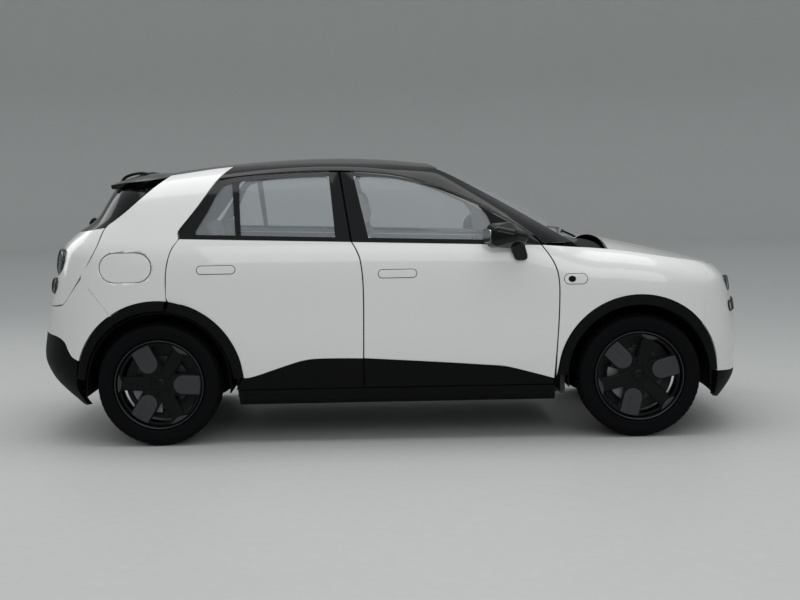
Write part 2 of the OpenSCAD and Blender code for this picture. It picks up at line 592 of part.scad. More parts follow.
module arch_liner(x, s, inner, r) translate([x, 0, tyre_r]) rotate([s > 0 ? -90 : 90, 0, 0])
  rotate([0, 0, s > 0 ? 180 - 8 : -8]) rotate_extrude(angle = 196, $fn = 96)
    polygon([[150, inner], [r, inner], [r, 850], [r - 5, 850], [r - 5, inner + 5], [150, inner + 5]]);
module arch_liners() color([0.1, 0.1, 0.1]) for (s = [-1, 1]) {
  arch_liner(axle_f, s, front_in, liner_r);
  arch_liner(axle_r, s, rear_in, liner_r);
}

// Running gear between the wheels.
rail_y = front_in - 16;
module front_subframe() color([0.2, 0.2, 0.22]) {
  for (s = [-1, 1]) translate([at([952.1, 0, 0]).x, s * rail_y - 15.4, 470])
    cube([axle_f + 499.6 - at([952.1, 0, 0]).x, 30.8, 70]);
  translate([axle_f - 60, -rail_y, tyre_r - 182]) cube([120, 2 * rail_y, 34]);
  for (s = [-1, 1]) translate([axle_f - 30, s * (rail_y - 20) - 20, tyre_r - 182]) cube([60, 40, 320]);
  for (s = [-1, 1]) translate([axle_f, s * (rail_y + kingpin_y) / 2, tyre_r - 166.4]) rotate([90, 0, 0])
    cylinder(d = 32, h = kingpin_y - rail_y + 40, center = true);
}
module rear_axle() color([0.2, 0.2, 0.22]) {
  translate([axle_r, 0, tyre_r]) rotate([90, 0, 0]) cylinder(d = 76, h = track - 60, center = true);
  for (s = [-1, 1]) at_wheel(axle_r, s) {
    rotate([-90, 0, 0]) cylinder(d = hub_bore - 1, h = 60, $fn = 64);
    translate([0, -8, 0]) rotate([-90, 0, 0]) cylinder(d = 150, h = 37.4);
    translate([0, -32, 0]) rotate([-90, 0, 0]) cylinder(d = 290, h = 24.5);
  }
  for (s = [-1, 1]) translate([axle_r - 20, s * 480 - 25, tyre_r - 20])
    cube([at([-889, 0, 0]).x - axle_r + 20, 50, 40]);
}
module front_knuckle(s) color([0.45, 0.45, 0.47]) at_wheel(axle_f, s) knuckle_shape();

// Cabin and front trunk.
module front_trunk() color([0.12, 0.12, 0.13]) translate([axle_f - 150, 4 - rail_y,
  540 + seam]) difference() {
  w = 2 * rail_y - 8;
  h = at([0, 0, 875]).z - 540;
  cube([480, w, h]);
  translate([10, 10, 10]) cube([460, w - 20, h]);
}
module extruded(w, y = 0) translate([0, y, 0]) rotate([90, 0, 0]) linear_extrude(w,
  center = true) children();
module dashboard() color([0.75, 0.74, 0.72]) {
  console();
  steering_column();
  extruded(1480 * wide) polygon(sketch(concat(
    [[925.5, 600], [925.5, 960]],
    along([[890, 985], [760, 1012], [640, 1000], [585, 940], [600, 860], [700, 790], [790, 640]], 14))));
}
cabin_z = floor_z + 24 + seam;
module console() extruded(220) polygon(
  sketch([[720, cabin_z], [720, 560], [560, 590], [-80, 560], [-120, cabin_z]]));
module front_seat(s) extruded(500, s * 360) polygon(sketch(along(
    [[430, 300], [440, 470], [380, 545], [120, 510], [0, 540], [-70, 800], [-140, 1110], [-205, 1130],
      [-225, 940], [-165, 520], [-140, 300], [430, 300]], 33)));
// Head restraint on two posts, its middle at a side-view point above the seat back.
rest_outline = [[-40, -92], [18, -96], [50, -46], [46, 44], [8, 92], [-44, 80], [-62, 0], [-40, -92]];
module head_rest(x, z, y, w) {
  extruded(w, y) polygon(sketch(along([for (p = rest_outline) p + [x, z]], 14)));
  for (d = [-60, 60]) translate(at([x, 0, z - 150]) + [0, y + d, 0]) cylinder(d = 12, h = 75, $fn = 24);
}
module front_seats() color([0.78, 0.77, 0.75]) for (s = [-1, 1]) {
  front_seat(s);
  head_rest(-172, 1262, s * 360, 270);
  translate([at([60, 0, 0]).x, s * 360 - 190, at([0, 0, cabin_z]).z]) cube([300, 380, 45]);
}
module rear_bench() color([0.78, 0.77, 0.75]) {
  extruded(2 * rear_in - 20.6) polygon(sketch(concat(along(
      [[-400, 300], [-400, 480], [-450, 560], [-700, 520], [-800, 545], [-880, 800], [-960, 1010],
        [-1030, 1015],
        [-1020, 800], [-915, load_z + seam]], 27),
      [[-880, load_z + seam], [-838, cabin_z], [-420, cabin_z]])));
  for (s = [-1, 1]) head_rest(-1000, 1126, s * 300, 250);
}
module at_column() translate(at([470, 360, 900])) rotate([0, -62, 0]) children();
module steering_wheel() color([0.1, 0.1, 0.1]) at_column() {
  rotate_extrude($fn = 48) translate([165, 0]) circle(d = 30, $fn = 24);
  cylinder(d = 110, h = 40, center = true);
  for (a = [0, 120, 240]) rotate([0, 0, a]) translate([100, 0, 0]) cube([120, 34, 18], center = true);
}
module steering_column() at_column() translate([0, 0, -180]) cylinder(d = 60, h = 159.6);

// Mirrors, flap and lamps.
module ball(x, y, z, s, r) translate(at([x, s * y, z])) sphere(r = r, $fn = 12);
mirror_head = [[553, 926, 1088], [556, 926, 1146], [640, 926, 1150], [708, 922, 1106], [640, 926, 1084],
  [572, 980, 1096], [576, 980, 1136], [655, 980, 1118]];
module mirror(s) color([0.06, 0.06, 0.07]) {
  hull() for (p = mirror_head) ball(p.x, p.y, p.z, s, 39);
  hull() {
    for (x = [690, 722]) ball(x, side_y(x, 1000) + 22.1, 1000, s, 22);
    for (x = [664, 696]) ball(x, 915, 1072, s, 28);
  }
}
flap_mid = [-1423, 976];
function flap_grid(d) =
  let (r = 78 + d, h = 63)
  patch(
    spread(flap_mid + [-h, -r], flap_mid + [h, -r], 4), spread(flap_mid + [-h, r], flap_mid + [h, r], 4),
    [for (a = [270:-22.5:90]) flap_mid + [-h + r * cos(a), r * sin(a)]],
    [for (a = [-90:22.5:90]) flap_mid + [h + r * cos(a), r * sin(a)]]);
module charge_flap() color("white") side_panel(flap_grid(0), -1, 7, [0, 0, 0, 0]);
// Hinges: door brackets on the firewall posts, and pins for the bonnet, tailgate and flap.
module door_hinges() for (s = [-1, 1]) for (x = [925.5, -176]) for (z = [593, 741]) {
  w = (side_y(x - 60, z - 6) - door_depth) * wide - (x > 0 ? 1.3 : 0.5);
  d = x > 0 ? 40 : 7;
  c = at([x, 0, z]);
  translate([c.x - (x > 0 ? 78 : 52), s > 0 ? w - d : -w, c.z - 6]) cube([20, d, 12]);
  if (x > 0) translate([c.x - 70, s > 0 ? w - d : 8 - w, c.z - 20]) cube([69.5, d - 8, 40]);
}
module hinges() color([0.45, 0.45, 0.47]) {
  door_hinges();
  for (s = [-1, 1]) translate(at([1188.8, s * 716, 1016])) rotate([90, 0, 0])
    cylinder(d = 14 * long, h = 58, center = true);
  for (s = [-1, 1]) translate(at([-1206, s * 200, 1483])) rotate([90, 0, 0])
    cylinder(d = 18.8 * long, h = 60, center = true);
  translate(at([-1279.3, -side_y(-1279, 976) + 2.5, 976])) cylinder(d = 4.4, h = 6, center = true);
}
module quarter_pocket() side_panel(flap_grid(shut_gap), -1, 34, [0, 0, 0, 0], 20);
module fixed_flares() color([0.06, 0.06, 0.07]) for (s = [-1, 1]) {
  flare(base_axle_f, arch_f, 2, 178, 14, s);
  flare(base_axle_r, arch_r, 84, 176, 8, s);
}
module head_lenses(grow, depth) for (s = [-1, 1]) for (q = [[60, 812, 92], [65.5, 690, 78], [53, 690, 66]])
  lens(round_end(true, [q[0], q[1]], s, 4), s * (90 - q[0]) * 0.75, 8, q[2] + grow, depth);
module tail_lenses(grow, depth) for (s = [-1, 1]) for (q = [[56, 1000, 150], [57, 868, 96], [66, 862, 84]])
  lens(round_end(false, [q[0], q[1]], s, 8), 180 - s * (90 - q[0]) * 0.75, 8, q[2] + grow, depth);
module head_lamps() color([0.9, 0.9, 0.92]) head_lenses(0, 24);
module tail_lamps() color([0.6, 0.05, 0.05]) tail_lenses(0, 30);

// Choose one sub-part, or all of them.

module glass_tint() color([0.1, 0.12, 0.14]) children();
floor_pan();
firewall();
battery_pack();
drive_motor();
front_subframe();
rear_axle();
sills();
fixed_flares();
arch_liners();
roof_rails();
centre_pillars();
roof_panel();
quarter_panels();
front_wings();
front_bumper();
front_grille();
rear_bumper();
rear_lower_bumper();
head_lamps();
windscreen();
cowl_panel();
hinges();
front_trunk();
dashboard();
front_seats();
rear_bench();
steering_wheel();
bonnet();
tailgate();
tailgate_frame();
rear_window();
rear_spoiler();
tail_lamps();
charge_flap();
door_front(1);  // door_front_left
door_rear(1);  // door_rear_left
front_trim(1);  // trim_front_left
rear_trim(1);  // trim_rear_left
glass_tint() pane(front_bi, front_ti, 1);  // glass_front_left
glass_tint() pane(rear_bi, rear_ti, 1);  // glass_rear_left
mirror(1);  // mirror_left
front_knuckle(1);  // knuckle_left
wheel(axle_f, 1, front_turn);  // wheel_front_left
wheel(axle_r, 1, rear_turn);  // wheel_rear_left
color([0.05, 0.05, 0.05]) at_wheel(axle_f, 1) tyre_shape();  // tyre_front_left
color([0.05, 0.05, 0.05]) at_wheel(axle_r, 1) tyre_shape();  // tyre_rear_left
door_front(-1);  // door_front_right
door_rear(-1);  // door_rear_right
front_trim(-1);  // trim_front_right
rear_trim(-1);  // trim_rear_right
glass_tint() pane(front_bi, front_ti, -1);  // glass_front_right
glass_tint() pane(rear_bi, rear_ti, -1);  // glass_rear_right
mirror(-1);  // mirror_right
front_knuckle(-1);  // knuckle_right
wheel(axle_f, -1, front_turn);  // wheel_front_right
wheel(axle_r, -1, rear_turn);  // wheel_rear_right
color([0.05, 0.05, 0.05]) at_wheel(axle_f,  // tyre_front_right
  -1) tyre_shape();
color([0.05, 0.05, 0.05]) at_wheel(axle_r, -1) tyre_shape();  // tyre_rear_right
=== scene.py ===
"""Finishes, smooth panels, cabin and studio for the electric hatchback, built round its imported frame."""

import json
import logging
import math
from dataclasses import dataclass
from enum import Enum
from typing import Callable, Optional, Sequence

import bmesh
import bpy
import numpy as np
from mathutils import Matrix, Vector

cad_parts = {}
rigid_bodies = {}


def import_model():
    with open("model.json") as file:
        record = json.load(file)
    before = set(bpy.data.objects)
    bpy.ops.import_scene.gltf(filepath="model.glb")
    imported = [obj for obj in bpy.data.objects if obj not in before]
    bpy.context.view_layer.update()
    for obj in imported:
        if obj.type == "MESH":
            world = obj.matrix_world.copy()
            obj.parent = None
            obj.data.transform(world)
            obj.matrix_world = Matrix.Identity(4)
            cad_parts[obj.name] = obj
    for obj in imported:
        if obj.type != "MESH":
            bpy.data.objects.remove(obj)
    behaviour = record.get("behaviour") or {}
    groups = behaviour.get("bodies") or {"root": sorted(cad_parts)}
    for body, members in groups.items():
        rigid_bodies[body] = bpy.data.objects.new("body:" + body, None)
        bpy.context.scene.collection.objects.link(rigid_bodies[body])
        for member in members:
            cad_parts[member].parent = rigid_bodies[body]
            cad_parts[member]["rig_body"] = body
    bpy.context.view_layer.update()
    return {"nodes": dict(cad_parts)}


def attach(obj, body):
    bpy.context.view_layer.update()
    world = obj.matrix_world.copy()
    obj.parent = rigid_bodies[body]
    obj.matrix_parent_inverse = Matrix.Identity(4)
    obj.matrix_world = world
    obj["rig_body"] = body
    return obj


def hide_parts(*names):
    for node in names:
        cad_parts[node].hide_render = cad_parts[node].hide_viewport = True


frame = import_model()
LOG = logging.getLogger("hatchback")
MM = 0.001
RIGHT, LEFT = -1, 1
SIDES = {RIGHT: "right", LEFT: "left"}
Grid = np.ndarray
Piece = bpy.types.Object
Placing = Callable[[Grid], Grid]
Colour = tuple[float, float, float, float]


class Pattern(Enum):
    """How a finish varies over its surface."""

    ORANGE_PEEL = "orange_peel"
    MOULDED = "moulded"
    RUBBER = "rubber"
    WOVEN = "woven"
    CAST = "cast"
    BRUSHED = "brushed"
    CLEAR = "clear"


def linear(code: str) -> Colour:
    """Returns the linear colour of an sRGB value of six hex digits."""
    parts = [int(code[i:i + 2], 16) / 255 for i in (0, 2, 4)]
    r, g, b = [c / 12.92 if c <= 0.04045 else ((c + 0.055) / 1.055) ** 2.4 for c in parts]
    return r, g, b, 1.0


def add(tree: bpy.types.NodeTree, kind: str, links: Optional[dict] = None,
        **settings: object) -> bpy.types.Node:
    """Adds a node with its settings and links.

    Args:
        tree: the node tree.
        kind: the node's type name.
        links: input name or index to an output socket or a plain value.
        **settings: attributes of the node.

    Returns:
        The new node.
    """
    node = tree.nodes.new(kind)
    for key, value in settings.items():
        setattr(node, key, value)
    for key, value in (links or {}).items():
        if isinstance(value, bpy.types.NodeSocket):
            tree.links.new(value, node.inputs[key])
        else:
            node.inputs[key].default_value = value
    return node


@dataclass(frozen=True)
class Finish:
    """One real material: its name, colour, gloss and the pattern its making leaves."""

    name: str
    colour: str
    pattern: Pattern
    grain_mm: float
    roughness: float = 0.5
    metallic: float = 0.0
    ior: float = 1.5
    coat: float = 0.0
    bump: float = 0.1
    shift: float = 0.12
    transmission: float = 0.0
    sheen: float = 0.0
    glow: float = 0.0
    alpha: float = 1.0

    def material(self) -> bpy.types.Material:
        """Returns the node material of this finish, built once."""
        found = bpy.data.materials.get(self.name)
        return found if found else self._build()

    def _build(self) -> bpy.types.Material:
        """Builds the node tree and returns the material."""
        made = bpy.data.materials.new(self.name)
        made.use_nodes = True
        tree = made.node_tree
        tree.nodes.clear()
        place = add(tree, "ShaderNodeTexCoord").outputs["Object"]
        shader = add(tree, "ShaderNodeBsdfPrincipled", {
            "Metallic": self.metallic, "IOR": self.ior, "Coat Weight": self.coat, "Coat Roughness": 0.03,
            "Transmission Weight": self.transmission, "Sheen Weight": self.sheen, "Sheen Roughness": 0.5,
            "Alpha": self.alpha})
        add(tree, "ShaderNodeOutputMaterial", {"Surface": shader.outputs[0]})
        if self.glow:
            shader.inputs["Emission Color"].default_value = linear(self.colour)
            shader.inputs["Emission Strength"].default_value = self.glow
        if self.pattern is Pattern.CLEAR:
            shader.inputs["Base Color"].default_value = linear(self.colour)
            shader.inputs["Roughness"].default_value = self.roughness
            return made
        fine, height = self._height(tree, place)
        # a slow drift of tone over about 40 cm, as paint, mouldings and cloth have under studio light
        drift = add(tree, "ShaderNodeTexNoise", {"Vector": place, "Scale": 2.5, "Detail": 2.0})
        tone = add(tree, "ShaderNodeMix", {0: drift.outputs["Fac"], "A": linear(self.colour),
                                           "B": self._shade(1 - self.shift)}, data_type="RGBA")
        speck = add(tree, "ShaderNodeMix", {0: fine, "A": tone.outputs["Result"],
                                            "B": self._shade(1 - 1.6 * self.shift)}, data_type="RGBA")
        tree.links.new(speck.outputs["Result"], shader.inputs["Base Color"])
        gloss = add(tree, "ShaderNodeMapRange", {"Value": fine, "To Min": max(0.02, self.roughness * 0.9),
                                                 "To Max": min(1.0, self.roughness * 1.15)})
        tree.links.new(gloss.outputs["Result"], shader.inputs["Roughness"])
        lift = add(tree, "ShaderNodeBump", {"Height": height, "Strength": self.bump,
                                            "Distance": self.grain_mm * MM * 0.4})
        tree.links.new(lift.outputs["Normal"], shader.inputs["Normal"])
        return made

    def _shade(self, share: float) -> Colour:
        """Returns the finish's colour at a share of its brightness."""
        r, g, b, a = linear(self.colour)
        return r * share, g * share, b * share, a

    def _height(self, tree: bpy.types.NodeTree, place: bpy.types.NodeSocket) -> tuple:
        """Adds the pattern's texture.

        Args:
            tree: the material's tree.
            place: Object coordinates.

        Returns:
            A fine colour mask and a height, both sockets.
        """
        scale = 1.0 / (self.grain_mm * MM)
        if self.pattern is Pattern.WOVEN:
            thread = {"Vector": place, "Scale": scale / 6.28, "Distortion": 0.6, "Detail": 1.0}
            over, under = (add(tree, "ShaderNodeTexWave", thread, bands_direction=way).outputs["Fac"]
                           for way in "XZ")
            cloth = add(tree, "ShaderNodeMath", {0: over, 1: under}, operation="MULTIPLY")
            return cloth.outputs[0], cloth.outputs[0]
        if self.pattern is Pattern.BRUSHED:
            turn = add(tree, "ShaderNodeMapping", {"Vector": place, "Scale": (scale, scale * 0.04, scale)})
            lines = add(tree, "ShaderNodeTexNoise", {"Vector": turn.outputs[0], "Scale": 1.0, "Detail": 3.0})
            return lines.outputs["Fac"], lines.outputs["Fac"]
        if self.pattern in (Pattern.MOULDED, Pattern.RUBBER):
            cells = add(tree, "ShaderNodeTexVoronoi", {"Vector": place, "Scale": scale}, feature="SMOOTH_F1")
            dust = add(tree, "ShaderNodeTexNoise", {"Vector": place, "Scale": scale * 0.11, "Detail": 4.0})
            return dust.outputs["Fac"], cells.outputs["Distance"]
        noise = add(tree, "ShaderNodeTexNoise", {"Vector": place, "Scale": scale, "Detail": 2.0})
        return noise.outputs["Fac"], noise.outputs["Fac"]


# Baked white basecoat under clear lacquer: bright, deep gloss, faint orange peel about 6 mm across.
PAINT = Finish("white_basecoat_clear_lacquer", "E5E5E3", Pattern.ORANGE_PEEL, 6.0, 0.28, coat=1.0, bump=0.012,
               shift=0.015)
# Black gloss acrylic moulding of roof, pillars and mirrors: mirror-like, nearly no texture.
GLOSS_BLACK = Finish("gloss_black_acrylic", "08090B", Pattern.ORANGE_PEEL, 8.0, 0.1, ior=1.36, bump=0.008)
# Injection-moulded polypropylene cladding: dull, leather-like grain drawn at 3 mm so that it shows.
# It also makes the dark rims round the door handles and side repeaters, painted shade standing for the shaded
# gaps round them.
CLADDING = Finish("moulded_black_polypropylene", "050607", Pattern.MOULDED, 3.0, 0.6, ior=1.22, bump=0.18)
# Carbon-black tyre rubber: matt with a little bloom.
RUBBER = Finish("carbon_black_rubber", "050608", Pattern.RUBBER, 2.5, 0.78, ior=1.22, bump=0.22, shift=0.2)
# Painted alloy wheel face: black with a fine satin gloss.
WHEEL_BLACK = Finish("satin_black_painted_alloy", "040506", Pattern.CAST, 1.5, 0.3, ior=1.27, bump=0.03)
# Moulded wheel covers in dark grey nylon, slightly grained.
COVER_GREY = Finish("grey_moulded_nylon", "2B2D32", Pattern.MOULDED, 2.0, 0.45, bump=0.08)
# Machined rim edge under a grey lacquer.
RIM_GREY = Finish("lacquered_machined_alloy", "4E5158", Pattern.BRUSHED, 1.5, 0.35, metallic=0.8, bump=0.04)
# Turned cast-iron brake disc with faint machining rings drawn at 1.5 mm.
DISC_IRON = Finish("turned_cast_iron", "3E4042", Pattern.BRUSHED, 1.5, 0.35, metallic=1.0, bump=0.1)
# Cast aluminium of calipers and knuckles: dull silver with sand-cast grain.
CAST_ALLOY = Finish("sand_cast_aluminium", "8E9195", Pattern.CAST, 2.0, 0.5, metallic=1.0, bump=0.2)
# Painted pressed steel under the body.
CHASSIS = Finish("black_painted_steel", "202225", Pattern.CAST, 3.0, 0.5, bump=0.1)
# Tempered side glass: a thin pane with a light neutral tint that lets the studio light into the cabin.
GLASS = Finish("tempered_float_glass", "C4CCD2", Pattern.CLEAR, 1.0, 0.02, ior=1.5, alpha=0.17)
# Deep-tinted rear glass.
DARK_GLASS = Finish("dark_tinted_glass", "050607", Pattern.CLEAR, 1.0, 0.03, ior=1.14, alpha=0.95)
# Polycarbonate lamp lens.
LENS = Finish("clear_polycarbonate", "F2F5F7", Pattern.CLEAR, 1.0, 0.02, transmission=1.0, ior=1.585)
RED_LENS = Finish("red_polycarbonate", "8E0F16", Pattern.CLEAR, 1.0, 0.08, transmission=0.4, ior=1.585)
# Smoked outer lens of the tail lamps and the dark plated ring round it.
SMOKED_LENS = Finish("smoked_polycarbonate", "5A4A4C", Pattern.CLEAR, 1.0, 0.02, transmission=1.0, ior=1.585)
DARK_CHROME = Finish("dark_chrome_plating", "3C3E42", Pattern.BRUSHED, 2.0, 0.18, metallic=1.0, bump=0.01)
# Vapour-aluminised reflector behind the lamp lenses.
REFLECTOR = Finish("aluminised_reflector", "D9DCDF", Pattern.BRUSHED, 1.0, 0.15, metallic=1.0, bump=0.02)
DIFFUSER = Finish("opal_light_diffuser", "F4F4EE", Pattern.CAST, 1.0, 0.4, glow=0.25)
# Light-grey seat cloth: woven polyester with threads about 4 mm apart, coarser than real so that it shows.
SEAT_CLOTH = Finish("woven_grey_polyester", "B9B7B2", Pattern.WOVEN, 4.0, 0.85, bump=0.3, sheen=0.3)
SEAT_BACKER = Finish("moulded_grey_seat_shell", "8A8B8C", Pattern.MOULDED, 2.5, 0.6, bump=0.12)
# Soft-touch cabin mouldings in pale grey.
CABIN = Finish("pale_grey_soft_plastic", "BDBBB6", Pattern.MOULDED, 2.5, 0.6, bump=0.12)
HEADLINING = Finish("needled_roof_lining", "C9C8C4", Pattern.WOVEN, 3.0, 0.95, bump=0.15)
CARPET = Finish("tufted_grey_carpet", "4A4B4D", Pattern.RUBBER, 4.0, 0.95, bump=0.5, sheen=0.3)
GRIP = Finish("black_grain_leather", "1B1C1E", Pattern.MOULDED, 1.8, 0.45, bump=0.2)
SCREEN = Finish("dark_display_glass", "08090B", Pattern.ORANGE_PEEL, 20.0, 0.05, bump=0.002)


# Body shape in millimetres: the same lines as the frame's panels, sampled finely.
AXLE_F, AXLE_R, AXLE_Z = 1351.5, -1263.5, 336.0
ARCH_F, ARCH_R = 448.0, 460.0
HALF_W, WAIST = 884.0, 690.0
# shut line round a part that opens, and seam between fixed neighbours
GAP, SEAM = 6.0, 0.3
FLAP_CENTRE = (-1423.0, 976.0)


def blend(a: Grid, ma: Grid, b: Grid, mb: Grid, s: Grid) -> Grid:
    """Returns the cubic from a to b with end slopes ma and mb at share s."""
    return (a * (2 * s**3 - 3 * s**2 + 1) + ma * (s**3 - 2 * s**2 + s)
            + b * (3 * s**2 - 2 * s**3) + mb * (s**3 - s**2))


def curve(pairs: Sequence, t: Grid) -> Grid:
    """Height of a smooth curve through (position, value) pairs.

    Args:
        pairs: rising positions with their values.
        t: where to read it.

    Returns:
        The values at t.
    """
    p = np.array(pairs, float)
    last = len(p) - 1
    low, high = np.maximum(np.arange(len(p)) - 1, 0), np.minimum(np.arange(len(p)) + 1, last)
    slope = (p[high, 1] - p[low, 1]) / (p[high, 0] - p[low, 0])
    i = np.clip(np.searchsorted(p[:, 0], t, side="right") - 1, 0, last - 1)
    h = p[i + 1, 0] - p[i, 0]
    return blend(p[i, 1], slope[i] * h, p[i + 1, 1], slope[i + 1] * h, np.clip((t - p[i, 0]) / h, 0, 1))


def along(points: Sequence, n: int) -> Grid:
    """Spaces n + 1 points on a smooth line through the given corners.

    Args:
        points: the corners, or rows of points.
        n: number of steps.

    Returns:
        The points.
    """
    p = np.array(points, float)
    t = np.linspace(0, len(p) - 1, n + 1)
    k = np.minimum(len(p) - 2, t.astype(int))
    s = (t - k).reshape((-1,) + (1,) * (p.ndim - 1))
    before, after = p[np.maximum(k - 1, 0)], p[np.minimum(k + 2, len(p) - 1)]
    return blend(p[k], (p[k + 1] - before) / 2, p[k + 1], (after - p[k]) / 2, s)


def arc(x: float, r: float, a: float, b: float, n: int) -> Grid:
    """Returns n + 1 side-view points on a circle about an axle, from angle a to b in degrees."""
    w = np.radians(np.linspace(a, b, n + 1))
    return np.stack([x + r * np.cos(w), AXLE_Z + r * np.sin(w)], 1)


def spread(a: Sequence, b: Sequence, n: int) -> Grid:
    """Returns n + 1 points on a straight line."""
    t = np.linspace(0, 1, n + 1)[:, None]
    return np.array(a, float) * (1 - t) + np.array(b, float) * t


def patch(bottom: Grid, top: Grid, rear: Grid, front: Grid) -> Grid:
    """Fills four border lines with a grid: bottom and top run forward, rear and front run up.

    Args:
        bottom: lower border.
        top: upper border, as many points as bottom.
        rear: rear border.
        front: front border, as many points as rear.

    Returns:
        Rows of points, bottom to top.
    """
    u = np.linspace(0, 1, len(bottom))[None, :, None]
    v = np.linspace(0, 1, len(rear))[:, None, None]
    ends = ((bottom[0] * (1 - u) + bottom[-1] * u) * (1 - v) + (top[0] * (1 - u) + top[-1] * u) * v)
    return bottom[None] * (1 - v) + top[None] * v + rear[:, None] * (1 - u) + front[:, None] * u - ends


def refine(grid: Grid, k: int) -> Grid:
    """Returns the grid with k times as many steps each way, on smooth lines through its points."""
    rows = along(grid, (len(grid) - 1) * k)
    return along(rows.swapaxes(0, 1), (grid.shape[1] - 1) * k).swapaxes(0, 1)


def belt(x: Grid) -> Grid:
    """Returns the height of the belt line."""
    return 1086 - 0.034 * x


def crown(x: Grid) -> Grid:
    """Returns the bonnet's centre-line height."""
    return curve([(-1900, 1300), (700, 1250), (900, 1165), (1080, 1088), (1280, 1062), (1494, 1024),
                  (1700, 976),
                  (1850, 930), (1960, 880)], x)


def roof(x: Grid) -> Grid:
    """Returns the roof's centre-line height."""
    return curve([(-1560, 1425), (-1200, 1497), (-700, 1545), (-350, 1557), (0, 1544), (200, 1520),
                  (600, 1480),
                  (1100, 1430)], x)


def nose(z: Grid) -> Grid:
    """Returns how far forward the nose reaches at a height."""
    return curve([(160, 1900), (230, 1955), (300, 1992), (400, 1997), (540, 2001.5), (650, 1986), (760, 1960),
                  (857, 1930), (915, 1884), (960, 1840)], z)


def tail(z: Grid) -> Grid:
    """Returns how far back the tail reaches at a height."""
    return curve([(200, -1800), (310, -1925), (380, -1975), (460, -2001.5), (600, -1985), (730, -1968),
                  (870, -1934),
                  (970, -1904), (1086, -1862), (1160, -1780), (1225, -1680), (1323, -1612), (1412, -1568),
                  (1500, -1545)], z)


def side_y(x: Grid, z: Grid) -> Grid:
    """Half width of the body.

    Args:
        x: stations.
        z: heights.

    Returns:
        Distance of the skin from the centre line.
    """
    x, z = np.asarray(x, float), np.asarray(z, float)

    def lower(height: Grid) -> Grid:
        """Returns the half width below the belt line."""
        under = HALF_W - 30 * (np.maximum(WAIST - height, 0) / 390) ** 2
        share = np.clip((height - WAIST) / (crown(x) - WAIST), 0, 1)
        return np.where(height < WAIST, under, HALF_W * (1 - share**5) ** 0.2)

    rise = z - belt(x)
    upper = (lower(belt(x)) - 0.42 * rise) * (1 - np.clip(rise / (roof(x) - belt(x)), 0, 1) ** 6) ** (1 / 6)
    front = (1 - np.clip((x - AXLE_F) / (nose(z) - AXLE_F), 0, 1) ** 3.2) ** (1 / 3.2)
    back = (1 - np.clip((x - AXLE_R) / (tail(z) - AXLE_R), 0, 1) ** 3.2) ** (1 / 3.2)
    return np.where(rise <= 0, lower(z), upper) * front * back


def onto(grid: Grid, side: int, inset: float = 0.0) -> Grid:
    """Lays side-view points on the body side, some way in from its skin.

    Args:
        grid: points [x, z].
        side: RIGHT or LEFT.
        inset: depth below the skin.

    Returns:
        Points [x, y, z].
    """
    x, z = grid[..., 0], grid[..., 1]
    return np.stack([x, side * (side_y(x, z) - inset), z], -1)


def round_end(front: bool, grid: Grid, side: int, inset: float = 0.0) -> Grid:
    """Lays [angle, height] points on the rounded nose or tail.

    Args:
        front: True for the nose.
        grid: points [angle in degrees, z].
        side: RIGHT or LEFT.
        inset: depth below the skin.

    Returns:
        Points [x, y, z].
    """
    w, z = np.radians(grid[..., 0]), grid[..., 1]
    start, reach = (AXLE_F, nose(z)) if front else (AXLE_R, tail(z))
    x = start + (reach - start) * np.clip(np.sin(w), 0, 1) ** 0.625
    y = np.maximum(0, side_y(x, z) - inset * np.cos(w))
    return np.stack([x - (inset if front else -inset) * np.sin(w), side * y, z], -1)


def polar(front: bool, points: Sequence) -> Grid:
    """Returns [angle, height] of side-view points on the nose or tail."""
    p = np.array(points, float)
    start, reach = (AXLE_F, nose(p[:, 1])) if front else (AXLE_R, tail(p[:, 1]))
    return np.stack([np.degrees(np.arcsin(np.clip((p[:, 0] - start) / (reach - start), 0, 1) ** 1.6)),
                     p[:, 1]], 1)


def end_grid(front: bool, seam: Sequence, bottom: Sequence, top: Sequence, m: int, k: int) -> Grid:
    """Half grid of a wrapped end panel, from its side seam to the centre line.

    Args:
        front: True for the nose.
        seam: side-view points of the seam, bottom to top.
        bottom: [angle, height] corners of the lower border after the seam.
        top: [angle, height] corners of the upper border after the seam.
        m: steps across.
        k: refinement.

    Returns:
        Rows of [angle, height].
    """
    edge = polar(front, seam)
    low = along([edge[0], *bottom], m)
    high = along([edge[-1], *top], m)
    return refine(patch(low, high, edge, spread(bottom[-1], top[-1], len(edge) - 1)), k)


def both_halves(front: bool, half: Grid, inset: float) -> Grid:
    """Returns the whole-width grid of a wrapped end panel, set in from the skin."""
    right, left = round_end(front, half, RIGHT, inset), round_end(front, half, LEFT, inset)
    return np.concatenate([right, left[:, -2::-1]], 1)


FRONT_LINE = along([(888, 332), (908, 600), (916, 790), (909, 902), (876, 985), (824, 1058)], 8)
MIDDLE_LINE = along([(-150, 463), (-145, 700), (-146, 884), (-163, 1013), (-203, 1093)], 8)
REAR_LINE = np.concatenate([arc(AXLE_R, ARCH_R, 4, 82, 7),
                            [(-1207, 880), (-1200, 975), (-1176, 1062), (-1134, 1124)]])
HALF_GAP = np.array([GAP / 2, 0.0])
BONNET_EDGE = np.array([(62, 922), (90, 914)], float)
TAIL_EDGE = np.array([(35, 832), (38.5, 792), (44, 769), (64, 757), (90, 755)], float)
GATE_SEAM = np.array([(-1678, 925), (-1625, 1009), (-1577, 1098), (-1542, 1188.7)])
GLASS_LOW = np.array([(44, 1172), (60, 1164), (90, 1160)], float)
GLASS_HIGH = np.array([(55, 1402), (65, 1410), (75, 1416), (90, 1421)], float)
GLASS_SEAM = np.array([(-1546, 1189), (-1490, 1230), (-1434, 1276), (-1364, 1335), (-1318, 1377)], float)


def roof_edge_z(x: Grid) -> Grid:
    """Returns the height of the roof's side edge."""
    return curve([(-1200, 1468), (-862, 1511), (-500, 1524), (-250, 1522), (0, 1511), (276, 1484)],
                 np.asarray(x))


